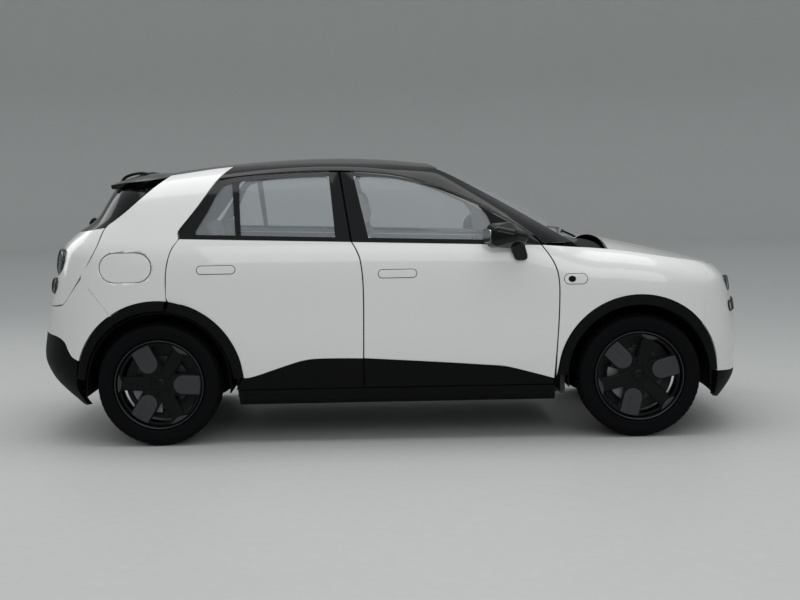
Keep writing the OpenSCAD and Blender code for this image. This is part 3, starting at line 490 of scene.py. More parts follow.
def front_door_grid() -> Grid:
    """Returns the front door skin in side view."""
    r, f = MIDDLE_LINE + HALF_GAP, FRONT_LINE - HALF_GAP
    return patch(along([r[0], (227, 437), (516, 414), (648, 398), f[0]], 8), spread(r[8], f[8], 8), r, f)


def rear_door_grid() -> Grid:
    """Returns the rear door skin in side view."""
    f, r = MIDDLE_LINE - HALF_GAP, REAR_LINE + HALF_GAP
    return patch(along([r[0], (-747, 372), (-534, 442), (-402, 466), f[0]], 8), spread(r[-1], f[8], 8), r,
                 along(f, len(r) - 1))


def wing_grid() -> Grid:
    """Returns the front wing in side view."""
    r = FRONT_LINE + HALF_GAP
    rear = np.concatenate([[(897, 344)], r[1:]])
    bottom = np.concatenate([rear[:1], arc(AXLE_F, ARCH_F, 174, 38, 11)])
    front = spread(bottom[12], (1740, 938), 8)
    return patch(bottom, along([rear[8], (1018, 1041), (1190, 1026), (1340, 1006), (1494, 981), (1640, 957),
                                front[8]], 12), rear, front)


def quarter_grid() -> Grid:
    """Returns the rear quarter panel in side view."""
    front = np.concatenate([
        along([(-1204, 792), (-1207, 880), (-1200, 975), (-1176, 1062), (-1134, 1124)], 5) - HALF_GAP,
        [(-1139, 1166), (-1082, 1240), (-1034, 1302), (-984, 1374), (-931, 1446), (-862, roof_edge_z(-862))]])
    rear = np.concatenate([
        spread((-1513.5, 722), (-1675, 925), 3),
        [(-1622, 1009), (-1574, 1098), (-1539, 1188), (-1487, 1230), (-1431, 1272), (-1360, 1333),
         (-1282, 1402),
         (-1199, roof_edge_z(-1199))]])
    xs = np.linspace(rear[11][0], front[11][0], 9)
    bottom = np.concatenate([front[:1], arc(AXLE_R, ARCH_R, 86, 122, 6), rear[:1]])[::-1]
    return patch(bottom, np.stack([xs, roof_edge_z(xs)], 1), rear, front)


# edges sharper than these are bevelled, and stay crisp round a cut
ROUNDED_OVER, CUT_EDGE = math.radians(35), math.radians(40)
# how far two triangles that are joined to a quad may bend and skew
QUAD_BEND, QUAD_SKEW = math.radians(24), math.radians(70)


def linked(name: str, data: bpy.types.ID) -> Piece:
    """Returns a new object of the given data, linked to the scene."""
    made = bpy.data.objects.new(name, data)
    bpy.context.scene.collection.objects.link(made)
    return made


def paint(mesh: bpy.types.Mesh, finishes: Sequence[Finish]) -> None:
    """Gives a mesh its material slots in order."""
    mesh.materials.clear()
    for finish in finishes:
        mesh.materials.append(finish.material())


def new_object(name: str, points: Sequence, faces: Sequence, finishes: Sequence[Finish],
               indices: Optional[Sequence[int]] = None) -> Piece:
    """Makes a mesh object from points in millimetres.

    Args:
        name: the piece's name.
        points: vertices in millimetres.
        faces: lists of vertex numbers.
        finishes: material slots in order.
        indices: each face's slot.

    Returns:
        The object, linked to the scene, at the origin.
    """
    mesh = bpy.data.meshes.new(name)
    mesh.from_pydata((np.asarray(points, float) * MM).tolist(), [], [list(map(int, f)) for f in faces])
    paint(mesh, finishes)
    if indices is not None:
        mesh.polygons.foreach_set("material_index", np.asarray(indices, np.int32))
    mesh.polygons.foreach_set("use_smooth", np.full(len(mesh.polygons), True))
    made = linked(name, mesh)
    outwards(mesh)
    return made


def outwards(mesh: bpy.types.Mesh) -> None:
    """Merges doubles and points a mesh's faces outwards."""
    work = bmesh.new()
    work.from_mesh(mesh)
    bmesh.ops.remove_doubles(work, verts=work.verts, dist=1e-6)
    bmesh.ops.recalc_face_normals(work, faces=work.faces)
    work.to_mesh(mesh)
    work.free()


def rounded(piece: Piece, radius_mm: float, segments: int = 2) -> Piece:
    """Rounds a piece's sharp edges with a bevel and weighted normals, applied.

    Args:
        piece: a mesh object.
        radius_mm: bevel width.
        segments: steps round the edge.

    Returns:
        The piece.
    """
    bevel = piece.modifiers.new("edge", "BEVEL")
    bevel.width, bevel.segments, bevel.limit_method = radius_mm * MM, segments, "ANGLE"
    bevel.angle_limit = ROUNDED_OVER
    bevel.use_clamp_overlap = True
    return weighted(piece)


def settle(piece: Piece) -> Piece:
    """Replaces a piece's mesh by its evaluated mesh, drops its modifiers and returns it."""
    graph = bpy.context.evaluated_depsgraph_get()
    graph.update()
    done = bpy.data.meshes.new_from_object(piece.evaluated_get(graph), preserve_all_data_layers=True,
                                           depsgraph=graph)
    piece.modifiers.clear()
    piece.data = done
    return piece


def weighted(piece: Piece, keep_sharp: bool = False) -> Piece:
    """Evens out a piece's shading by face area, applies its modifiers and returns it."""
    piece.modifiers.new("normals", "WEIGHTED_NORMAL").keep_sharp = keep_sharp
    return settle(piece)


def divided(piece: Piece, levels: int) -> Piece:
    """Subdivides a piece, applied, and returns it."""
    divide = piece.modifiers.new("smooth", "SUBSURF")
    divide.levels = divide.render_levels = levels
    return settle(piece)


def evened(piece: Piece, voxel_mm: float) -> Piece:
    """Gives a piece one even mesh of the given cell size, applied, and returns it."""
    remesh = piece.modifiers.new("even", "REMESH")
    remesh.mode, remesh.voxel_size, remesh.use_smooth_shade = "VOXEL", voxel_mm * MM, True
    return settle(piece)


def walls(rows: int, n: int, steps: int) -> list:
    """Faces between closed rows of points.

    Args:
        rows: number of rows.
        n: points in a row.
        steps: rows - 1, or rows where the last row joins the first.

    Returns:
        The faces.
    """
    return [(i * n + j, i * n + (j + 1) % n, (i + 1) % rows * n + (j + 1) % n, (i + 1) % rows * n + j)
            for i in range(steps) for j in range(n)]


def sleeve(rows: int, n: int) -> list:
    """Returns the faces of rows of n points, closed round and capped at both ends."""
    ends = [tuple(range(n - 1, -1, -1)), tuple(range((rows - 1) * n, rows * n))]
    return walls(rows, n, rows - 1) + ends


def slab_faces(n: int, m: int) -> tuple[list, list]:
    """Faces of a closed slab between two n by m grids.

    Args:
        n: rows.
        m: columns.

    Returns:
        Faces, and 0 for the outer skin, 1 for the edges, 2 for the inner skin.
    """
    o = n * m
    cell = [(i * m + j, i * m + j + 1, (i + 1) * m + j + 1, (i + 1) * m + j) for i in range(n - 1)
            for j in range(m - 1)]
    ring = [j for j in range(m)] + [i * m + m - 1 for i in range(1, n)]
    ring += [(n - 1) * m + j for j in range(m - 2, -1, -1)] + [i * m for i in range(n - 2, 0, -1)]
    inner = [tuple(o + v for v in reversed(f)) for f in cell]
    edge = [(a, b, o + b, o + a) for a, b in zip(ring, ring[1:] + ring[:1])]
    return cell + inner + edge, [0] * len(cell) + [2] * len(inner) + [1] * len(edge)


def slab(name: str, outer: Grid, inner: Grid, skin: Finish, inside: Finish,
         radius_mm: float = 2.0) -> Piece:
    """Makes a panel between two matching grids, its edges rounded.

    Args:
        name: the piece's name.
        outer: outer points.
        inner: inner points.
        skin: finish outside and on the edges.
        inside: finish inside.
        radius_mm: edge radius.

    Returns:
        The panel.
    """
    faces, kinds = slab_faces(*outer.shape[:2])
    points = np.concatenate([outer.reshape(-1, 3), inner.reshape(-1, 3)])
    piece = new_object(name, points, faces, [skin, skin, inside], kinds)
    return rounded(piece, radius_mm)


def drawn_inner(grid: Grid, side: int, depth: float, draw: Sequence, k: int) -> Grid:
    """Inner face of a side panel, drawn in from its edges.

    Args:
        grid: refined side-view grid.
        side: RIGHT or LEFT.
        depth: panel depth.
        draw: how far the rear, front, bottom and top edges are drawn in; the last two may be lists.
        k: refinement of the grid, which spreads the draw over its first and last cells.

    Returns:
        Points [x, y, z].
    """
    made = onto(grid, side, depth)
    n, m = grid.shape[:2]
    fade = np.clip(1 - np.arange(max(n, m)) / k, 0, 1)
    for rows, amount in ((slice(None), draw[2]), (slice(None, None, -1), -np.asarray(draw[3], float))):
        per = np.asarray(amount, float)
        per = np.full(m, per) if per.ndim == 0 else np.interp(np.linspace(0, len(per) - 1, m),
                                                              range(len(per)), per)
        made[rows, :, 2] += fade[:n, None] * per[None]
    made[:, :, 0] += fade[:m][None] * draw[0] - fade[:m][::-1][None] * draw[1]
    return made


def cad_copy(node: str) -> bmesh.types.BMesh:
    """Returns a working copy of a frame node's mesh, its doubles merged."""
    work = bmesh.new()
    work.from_mesh(frame["nodes"][node].data)
    bmesh.ops.remove_doubles(work, verts=work.verts, dist=2e-5)
    bmesh.ops.dissolve_degenerate(work, dist=1e-5, edges=work.edges)
    return work


def smoothed(node: str, skin: Finish, levels: int, radius_mm: float = 0.0,
             sharp: float = 38.0) -> Piece:
    """Makes a smooth piece from a frame node: quads, creased edges, subdivision, then rounded edges.

    Args:
        node: the frame node.
        skin: its finish.
        levels: subdivision levels.
        radius_mm: edge radius, none if 0.
        sharp: edges sharper than this stay crisp, in degrees.

    Returns:
        The piece.
    """
    work = cad_copy(node)
    bmesh.ops.join_triangles(work, faces=work.faces, angle_face_threshold=QUAD_BEND,
                             angle_shape_threshold=QUAD_SKEW)
    layer = work.edges.layers.float.get("crease_edge") or work.edges.layers.float.new("crease_edge")
    for e in work.edges:
        e[layer] = 1.0 if len(e.link_faces) != 2 or e.calc_face_angle(0) > math.radians(sharp) else 0.0
    for f in work.faces:
        f.smooth = True
        f.material_index = 0
    mesh = bpy.data.meshes.new(f"{node}_skin")
    work.to_mesh(mesh)
    work.free()
    paint(mesh, [skin])
    piece = divided(linked(mesh.name, mesh), levels)
    return rounded(piece, radius_mm) if radius_mm else rounded(piece, 0.4, 1)


def melted(node: str, skin: Finish, voxel_mm: float = 4.0, rounds: int = 14) -> Piece:
    """Makes a flowing moulding from a frame node of rounded lumps.

    Args:
        node: the frame node.
        skin: its finish.
        voxel_mm: size of the even mesh that it gets.
        rounds: how often that mesh is evened out.

    Returns:
        The piece.
    """
    piece = evened(smoothed(node, skin, 0), voxel_mm)
    flow = piece.modifiers.new("flow", "SMOOTH")
    flow.factor, flow.iterations = 0.5, rounds
    return settle(piece)


def stand_in(piece: Piece, *nodes: str) -> Piece:
    """Rides a piece on its nodes' body and shows it in their place.

    Args:
        piece: the finished piece.
        *nodes: the frame nodes that it stands for.

    Returns:
        The piece.
    """
    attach(piece, frame["nodes"][nodes[0]]["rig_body"])
    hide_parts(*nodes)
    LOG.info("%s stands for %s", piece.name, ", ".join(nodes))
    return piece


def dress(node: str, finish: Finish) -> None:
    """Gives a frame node that keeps its own shape its finish."""
    paint(frame["nodes"][node].data, [finish])


def boolean(piece: Piece, cutter: Piece) -> Piece:
    """Cuts a closed shape out of a piece, removes the cutter and returns the piece."""
    cut = piece.modifiers.new("cut", "BOOLEAN")
    cut.operation, cut.object, cut.solver = "DIFFERENCE", cutter, "EXACT"
    settle(piece)
    bpy.data.objects.remove(cutter)
    piece.data.set_sharp_from_angle(angle=CUT_EDGE)
    return weighted(piece, True)


Part = tuple[np.ndarray, list, int]


def fillet(points: Sequence, radius: float, n: int = 4) -> Grid:
    """Rounds the corners of a closed outline.

    Args:
        points: corners [u, v].
        radius: how far from each corner the rounding starts.
        n: steps round a corner.

    Returns:
        The rounded outline.
    """
    p = np.array(points, float)
    before, after = np.roll(p, 1, 0), np.roll(p, -1, 0)
    made = []
    for a, c, b in zip(before, p, after):
        da, db = np.linalg.norm(a - c), np.linalg.norm(b - c)
        start, end = c + (a - c) * min(0.45, radius / da), c + (b - c) * min(0.45, radius / db)
        t = np.linspace(0, 1, n + 1)[:, None]
        made.append(start * (1 - t) ** 2 + c * 2 * t * (1 - t) + end * t**2)
    return np.concatenate(made)


def pill(length: float, width: float, n: int = 10) -> Grid:
    """Returns a stadium outline about the origin, length along u."""
    w = np.radians(np.concatenate([np.linspace(-90, 90, n + 1), np.linspace(90, 270, n + 1)]))
    shift = np.repeat([1.0, -1.0], n + 1) * (length - width) / 2
    return np.stack([shift + width / 2 * np.cos(w), width / 2 * np.sin(w)], 1)


def panel(width: float, height: float, radius: float) -> Grid:
    """Returns a rectangle about the origin with rounded corners."""
    u, v = width / 2, height / 2
    return fillet([(-u, -v), (u, -v), (u, v), (-u, v)], radius)


def fan(radius: float, a: float, b: float, n: int) -> Grid:
    """Returns n points about the origin, from angle a to b in degrees, at one radius or one for each."""
    w = np.radians(np.linspace(a, b, n))
    return np.reshape(radius, (-1, 1)) * np.stack([np.cos(w), np.sin(w)], 1)


def circle(radius: float, n: int = 64) -> Grid:
    """Returns a round outline about the origin."""
    w = np.linspace(0, 2 * np.pi, n, endpoint=False)
    return radius * np.stack([np.cos(w), np.sin(w)], 1)


def plate(loops: Sequence[Grid], low: float, high: float, radius: float, slot: int = 0) -> Part:
    """Makes a flat plate with holes and rounded rims, through a filled curve.

    Args:
        loops: closed outlines [u, v], holes among them.
        low: level of its back.
        high: level of its face.
        radius: rounding of its rims.
        slot: finish number.

    Returns:
        Points [u, v, level], faces and the finish number.
    """
    drawn = bpy.data.curves.new("plate", "CURVE")
    drawn.dimensions, drawn.fill_mode = "2D", "BOTH"
    drawn.bevel_depth, drawn.bevel_resolution, drawn.offset = radius * MM, 2, -radius * MM
    drawn.extrude = ((high - low) / 2 - radius) * MM
    for loop in loops:
        line = drawn.splines.new("POLY")
        line.points.add(len(loop) - 1)
        line.points.foreach_set("co",
                                np.column_stack([loop * MM, np.zeros(len(loop)), np.ones(len(loop))]).ravel())
        line.use_cyclic_u = True
    holder = linked("plate", drawn)
    graph = bpy.context.evaluated_depsgraph_get()
    graph.update()
    mesh = bpy.data.meshes.new_from_object(holder.evaluated_get(graph))
    points = np.array([v.co for v in mesh.vertices]) / MM + [0, 0, (low + high) / 2]
    faces = [list(f.vertices) for f in mesh.polygons]
    bpy.data.objects.remove(holder)
    bpy.data.curves.remove(drawn)
    bpy.data.meshes.remove(mesh)
    return points, faces, slot


def revolve(profile: Sequence, steps: int = 96, slot: int = 0, turn: float = 360.0,
            start: float = 0.0) -> Part:
    """Turns a closed [radius, level] outline about the level axis.

    Args:
        profile: the outline.
        steps: steps round.
        slot: finish number.
        turn: how far round, in degrees.
        start: where it starts, in degrees.

    Returns:
        Points [u, v, level], faces and the finish number.
    """
    p = np.array(profile, float)
    n, whole = len(p), turn > 359.9
    rows = steps if whole else steps + 1
    w = np.radians(start + turn * np.arange(rows) / steps)
    points = np.stack([np.outer(np.cos(w), p[:, 0]), np.outer(np.sin(w), p[:, 0]),
                       np.broadcast_to(p[:, 1], (rows, n))], -1).reshape(-1, 3)
    faces = walls(rows, n, steps)
    if not whole:
        faces += [tuple(range(n)), tuple((rows - 1) * n + j for j in range(n - 1, -1, -1))]
    return points, faces, slot


def turned(part: Part, degrees: float) -> Part:
    """Returns a part turned in its own plane."""
    c, s = math.cos(math.radians(degrees)), math.sin(math.radians(degrees))
    return part[0] @ np.array([[c, s, 0], [-s, c, 0], [0, 0, 1]]), part[1], part[2]


def stood(part: Part) -> Part:
    """Returns a plate stood up, its outline in side view and its level across the car."""
    return part[0][:, [0, 2, 1]], part[1], part[2]


def moved(part: Part, u: float, v: float, level: float = 0.0) -> Part:
    """Returns a part shifted in its own plane and along its axis."""
    return part[0] + [u, v, level], part[1], part[2]


def assemble(name: str, parts: Sequence[Part], place: Placing,
             finishes: Sequence[Finish]) -> Piece:
    """Joins parts to one piece.

    Args:
        name: the piece's name.
        parts: points, faces and finish numbers.
        place: takes [u, v, level] points to their place in the car.
        finishes: the finishes by number.

    Returns:
        The piece.
    """
    points, faces, slots, count = [], [], [], 0
    for own, cells, slot in parts:
        points.append(own)
        faces += [[v + count for v in f] for f in cells]
        slots += [slot] * len(cells)
        count += len(own)
    piece = new_object(name, place(np.concatenate(points)), faces, finishes, slots)
    return weighted(piece)


def repaint(piece: Piece, finishes: Sequence[Finish],
            rule: Callable[[Grid, Grid], Grid]) -> Piece:
    """Gives a piece's faces finishes by where they are and face.

    Args:
        piece: a mesh object.
        finishes: the finishes by number.
        rule: takes face centres in millimetres and normals to finish numbers.

    Returns:
        The piece.
    """
    mesh = piece.data
    paint(mesh, finishes)
    centres, normals = np.zeros(len(mesh.polygons) * 3), np.zeros(len(mesh.polygons) * 3)
    mesh.polygons.foreach_get("center", centres)
    mesh.polygons.foreach_get("normal", normals)
    chosen = rule(centres.reshape(-1, 3) / MM, normals.reshape(-1, 3))
    mesh.polygons.foreach_set("material_index", np.asarray(chosen, np.int32))
    return piece


@dataclass
class BodyShell:
    """Painted panels, black upper works and cladding of the body, doors and lids."""

    refinement: int = 4
    door_depth: float = 60.0
    panel_depth: float = 14.0
    lid_depth: float = 32.0
    pocket_radius: float = 81.0
    pocket_shift: float = 63.0
    pocket_depth: float = 34.0
    lamp_depth: float = 27.0
    seal_inset: float = 26.0
    seal_radius: float = 7.0

    def build(self) -> None:
        """Builds and dresses every outer panel."""
        self.doors()
        self.wings_and_quarters()
        self.ends()
        self.upper()
        self.lower()

    def side_slab(self, name: str, grid: Grid, side: int, depth: float, draw: Sequence, skin: Finish,
                  inside: Finish) -> Piece:
        """Makes one body-side panel.

        Args:
            name: the piece's name.
            grid: side-view grid at the frame's resolution.
            side: RIGHT or LEFT.
            depth: panel depth.
            draw: how far its inner face is drawn in from rear, front, bottom and top.
            skin: outside finish.
            inside: inside finish.

        Returns:
            The panel.
        """
        fine = refine(grid, self.refinement)
        return slab(name, onto(fine, side), drawn_inner(fine, side, depth, draw, self.refinement), skin,
                    inside)

    def doors(self) -> None:
        """Builds the four door skins and their frames with the lower cladding."""
        draw = (18, 18, 18, 18)
        for side, word in SIDES.items():
            for end, skin in (("front", front_door_grid()), ("rear", rear_door_grid())):
                panel = self.side_slab(f"door_{end}_{word}_panel", skin, side, self.door_depth, draw, PAINT,
                                       CABIN)
                stand_in(panel, f"door_{end}_{word}")
                frame_piece = smoothed(f"trim_{end}_{word}", GLOSS_BLACK, 2, 1.2)
                stand_in(repaint(frame_piece, (GLOSS_BLACK, CLADDING, CABIN), self.trim_rule),
                         f"trim_{end}_{word}")

    @staticmethod
    def trim_rule(centre: Grid, normal: Grid) -> Grid:
        """Returns finish numbers of a door's trim: gloss frame, dull cladding, pale towards the cabin."""
        inward = normal[:, 1] * np.sign(centre[:, 1]) < -0.8
        return np.where(centre[:, 2] < 900, 1, np.where(inward, 2, 0))

    def wings_and_quarters(self) -> None:
        """Builds the front wings and the rear quarter panels."""
        wing_draw = (0, 16, [0] * 12 + [20], [0] * 4 + [30] * 9)
        wings = [self.side_slab(f"wing_{w}", wing_grid(), s, self.panel_depth, wing_draw, PAINT, CHASSIS)
                 for s, w in SIDES.items()]
        for piece in wings:
            stand_in(piece, "front_wings")
        for s, w in SIDES.items():
            piece = self.side_slab(f"quarter_{w}", quarter_grid(), s, self.door_depth, (50, 0, 0, 52), PAINT,
                                   CABIN)
            if s == RIGHT:
                boolean(piece, self.flap_pocket())
            stand_in(piece, "quarter_panels")
        stand_in(smoothed("charge_flap", PAINT, 2, 1.0), "charge_flap")

    def flap_pocket(self) -> Piece:
        """Returns the pill-shaped cutter of the charge flap's pocket."""
        w = np.radians(np.arange(0, 360, 6))
        (x, z), r, shift = FLAP_CENTRE, self.pocket_radius, self.pocket_shift
        ring = np.stack([x + shift * np.sign(np.cos(w)) + r * np.cos(w), z + r * np.sin(w)], 1)
        near, far = onto(ring, RIGHT, -25), onto(ring, RIGHT, self.pocket_depth)
        n = len(ring)
        faces = [(i, (i + 1) % n, n + (i + 1) % n, n + i) for i in range(n)]
        return new_object("pocket_cutter", np.concatenate([near, far]),
                          faces + [tuple(range(n)), tuple(range(2 * n - 1, n - 1, -1))], [CHASSIS])

    def ends(self) -> None:
        """Builds the bumpers, the tailgate skin and the rear window."""
        k = self.refinement
        seam = np.array([SEAM, 0.0])
        front_seam = np.concatenate([arc(AXLE_F, ARCH_F, 1, 38, 4), spread((1704.5, 612), (1740, 938), 4)])
        rear_seam = np.concatenate([arc(AXLE_R, ARCH_R, 163, 123, 4), spread((-1514, 722), (-1673, 918), 3)])
        down = np.array([0.0, GAP])
        lower_seam = np.concatenate([[(-1712, 240)], arc(AXLE_R, ARCH_R + 2.5, 178, 164.5, 3)])
        parts = (
            ("front_bumper", True, front_seam + seam, [(58, 330), (90, 335)], BONNET_EDGE - down, 9,
             self.panel_depth, PAINT),
            ("front_grille", True, [(1796, 205), (1799, 270), (1799, 343)], [(60, 165), (90, 165)],
             [(58, 330 - SEAM), (90, 335 - SEAM)], 9, 30, CLADDING),
            ("rear_bumper", False, rear_seam - seam, [(31, 500), (39, 585), (60, 604), (90, 606)],
             TAIL_EDGE - down, 9, self.panel_depth, PAINT),
            ("rear_lower_bumper", False, lower_seam, [(45, 205), (90, 205)],
             [(31, 497), (39, 581), (60, 600), (90, 602)], 9, 30, CLADDING),
            ("tailgate", False, GATE_SEAM - HALF_GAP, TAIL_EDGE, GLASS_LOW - [0, SEAM], 9, self.lid_depth,
             PAINT),
            ("rear_window", False, GLASS_SEAM - HALF_GAP, GLASS_LOW, GLASS_HIGH, 8, 5, DARK_GLASS),
        )
        for node, front, edge, low, high, m, depth, finish in parts:
            half = end_grid(front, edge, [np.array(q, float) for q in low],
                            [np.array(q, float) for q in high], m, k)
            inside = CABIN if node == "tailgate" else finish if finish is DARK_GLASS else CHASSIS
            piece = slab(f"{node}_panel", both_halves(front, half, 0), both_halves(front, half, depth),
                         finish, inside,
                         0.8 if finish is DARK_GLASS else 2.0)
            if node in ("front_bumper", "tailgate"):
                boolean(piece, self.lamp_cutter(front))
            if node == "rear_window":
                repaint(piece, (DARK_GLASS, GLOSS_BLACK), self.border_rule)
            if node == "tailgate":
                repaint(piece, (PAINT, CABIN), self.gate_rule)
            stand_in(piece, node)

    def lamp_cutter(self, front: bool) -> Piece:
        """Returns the cutter of the lamp openings in the nose or the tailgate."""
        lamps = Lamps()
        parts = []
        for side in SIDES:
            for angle, z, d in lamps.head if front else lamps.tail:
                points, faces, slot = plate([circle(d / 2 - SEAM)], -self.lamp_depth, 60, 0.2)
                parts.append((lamps.placed(front, angle, z, side, 0)(points), faces, slot))
        return assemble("lamp_cutter", parts, same, [CHASSIS])

    @staticmethod
    def gate_rule(_centre: Grid, normal: Grid) -> Grid:
        """Returns finish numbers of the tailgate: paint outside, pale moulding towards the cabin."""
        return np.where(normal[:, 0] + np.abs(normal[:, 1]) * 0.3 > 0.35, 1, 0)

    @staticmethod
    def border_rule(centre: Grid, _normal: Grid) -> Grid:
        """Returns finish numbers of the rear glass: clear in the middle, a printed black border round it."""
        y, z = np.abs(centre[:, 1]), centre[:, 2]
        return np.where((y > 430) | (z > 1372) | (z < 1185), 1, 0)

    def upper(self) -> None:
        """Builds roof, rails, screen, side glass, mirrors, spoiler, bonnet and cowl."""
        for node, finish, radius in (("rear_spoiler", GLOSS_BLACK, 2.0), ("cowl_panel", CLADDING, 2.0),
                                     ("bonnet", PAINT, 2.5), ("tailgate_frame", GLOSS_BLACK, 1.0),
                                     ("windscreen", GLASS, 0.6)):
            stand_in(smoothed(node, finish, 2, radius), node)
        for node in ("roof_panel", "roof_rails"):
            stand_in(repaint(smoothed(node, GLOSS_BLACK, 2, 1.0), (GLOSS_BLACK, HEADLINING), self.roof_rule),
                     node)
        for word in SIDES.values():
            for end in ("front", "rear"):
                stand_in(smoothed(f"glass_{end}_{word}", GLASS, 1, 0.5), f"glass_{end}_{word}")
            stand_in(melted(f"mirror_{word}", GLOSS_BLACK), f"mirror_{word}")

    @staticmethod
    def roof_rule(centre: Grid, normal: Grid) -> Grid:
        """Returns finish numbers of the roof and rails: gloss outside, lining towards the cabin."""
        inward = normal[:, 1] * np.sign(centre[:, 1]) * 0.6 + normal[:, 2] < -0.45
        return np.where(inward, 1, 0)

    def lower(self) -> None:
        """Builds sills, flares, centre pillars and seals, and dresses what is under the body."""
        stand_in(smoothed("sills", CLADDING, 1, 3.0), "sills")
        stand_in(smoothed("fixed_flares", CLADDING, 2, 3.0), "fixed_flares")
        for node, finish in (("floor_pan", CHASSIS), ("firewall", CHASSIS), ("battery_pack", CHASSIS),
                             ("drive_motor", CAST_ALLOY), ("front_subframe", CHASSIS), ("rear_axle", CHASSIS),
                             ("arch_liners", CLADDING), ("hinges", CHASSIS), ("front_trunk", CLADDING),
                             ("knuckle_left", CAST_ALLOY), ("knuckle_right", CAST_ALLOY)):
            dress(node, finish)
        pillars = repaint(smoothed("centre_pillars", CABIN, 0, 2.0), (CABIN, CLADDING), self.pillar_rule)
        stand_in(pillars, "centre_pillars")
        self.seals()

    @staticmethod
    def pillar_rule(centre: Grid, normal: Grid) -> Grid:
        """Returns finish numbers of the centre pillars: pale towards the cabin, black behind the doors."""
        return np.where(normal[:, 1] * np.sign(centre[:, 1]) > 0.3, 1, 0)

    def seals(self) -> None:
        """Lays the black rubber seals behind the door and tailgate shut lines."""
        for side, word in SIDES.items():
            lines = (("front", FRONT_LINE), ("middle", MIDDLE_LINE), ("rear", REAR_LINE[8:]),
                     ("tail", along(GATE_SEAM, 12)))
            for name, line in lines:
                seal = assemble(f"seal_{name}_{word}",
                                [tube(onto(line, side, self.seal_inset), self.seal_radius)], same,
                                [RUBBER])
                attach(seal, "body")


def graph(name: str, inputs: dict[str, str]) -> tuple[bpy.types.NodeTree, dict]:
    """Starts a geometry node group.

    Args:
        name: the group's name.
        inputs: names and socket types of its inputs after the geometry.

    Returns:
        The tree, and its input sockets by name.
    """
    tree = bpy.data.node_groups.new(name, "GeometryNodeTree")
    tree.interface.new_socket("Geometry", in_out="INPUT", socket_type="NodeSocketGeometry")
    for label, kind in inputs.items():
        tree.interface.new_socket(label, in_out="INPUT", socket_type=kind)
    tree.interface.new_socket("Geometry", in_out="OUTPUT", socket_type="NodeSocketGeometry")
    return tree, add(tree, "NodeGroupInput").outputs


def run_graph(piece: Piece, tree: bpy.types.NodeTree, values: dict[str, object]) -> None:
    """Puts a geometry node group on a piece with its inputs set by identifier."""
    made = piece.modifiers.new(tree.name, "NODES")
    made.node_group = tree
    for item in tree.interface.items_tree:
        if item.in_out == "INPUT" and item.name in values:
            made[item.identifier] = values[item.name]


def tread_graph() -> bpy.types.NodeTree:
    """Returns the node group that sets one row of tread lugs round a tyre."""
    tree, given = graph("tread_row", {"Lugs": "NodeSocketInt", "Radius": "NodeSocketFloat",
                                      "Lug size": "NodeSocketVector", "Centre": "NodeSocketVector",
                                      "Rubber": "NodeSocketMaterial"})
    ring = add(tree, "GeometryNodeMeshCircle", {"Vertices": given["Lugs"], "Radius": given["Radius"]})
    lug = add(tree, "GeometryNodeMeshCube", {"Size": given["Lug size"]})
    outward = add(tree, "GeometryNodeInputPosition")
    aim = add(tree, "FunctionNodeAlignRotationToVector", {"Vector": outward.outputs[0]}, axis="X",
              pivot_axis="Z")
    row = add(tree, "GeometryNodeInstanceOnPoints", {"Points": ring.outputs[0], "Instance": lug.outputs[0],
                                                     "Rotation": aim.outputs[0]})
    whole = add(tree, "GeometryNodeRealizeInstances", {0: row.outputs[0]})
    upright = add(tree, "GeometryNodeTransform",
                  {"Geometry": whole.outputs[0], "Translation": given["Centre"],
                   "Rotation": (math.pi / 2, 0.0, 0.0)})
    dark = add(tree, "GeometryNodeSetMaterial", {"Geometry": upright.outputs[0], "Material": given["Rubber"]})
    both = add(tree, "GeometryNodeJoinGeometry")
    tree.links.new(given["Geometry"], both.inputs[0])
    tree.links.new(dark.outputs[0], both.inputs[0])
    add(tree, "NodeGroupOutput", {0: both.outputs[0]})
    return tree


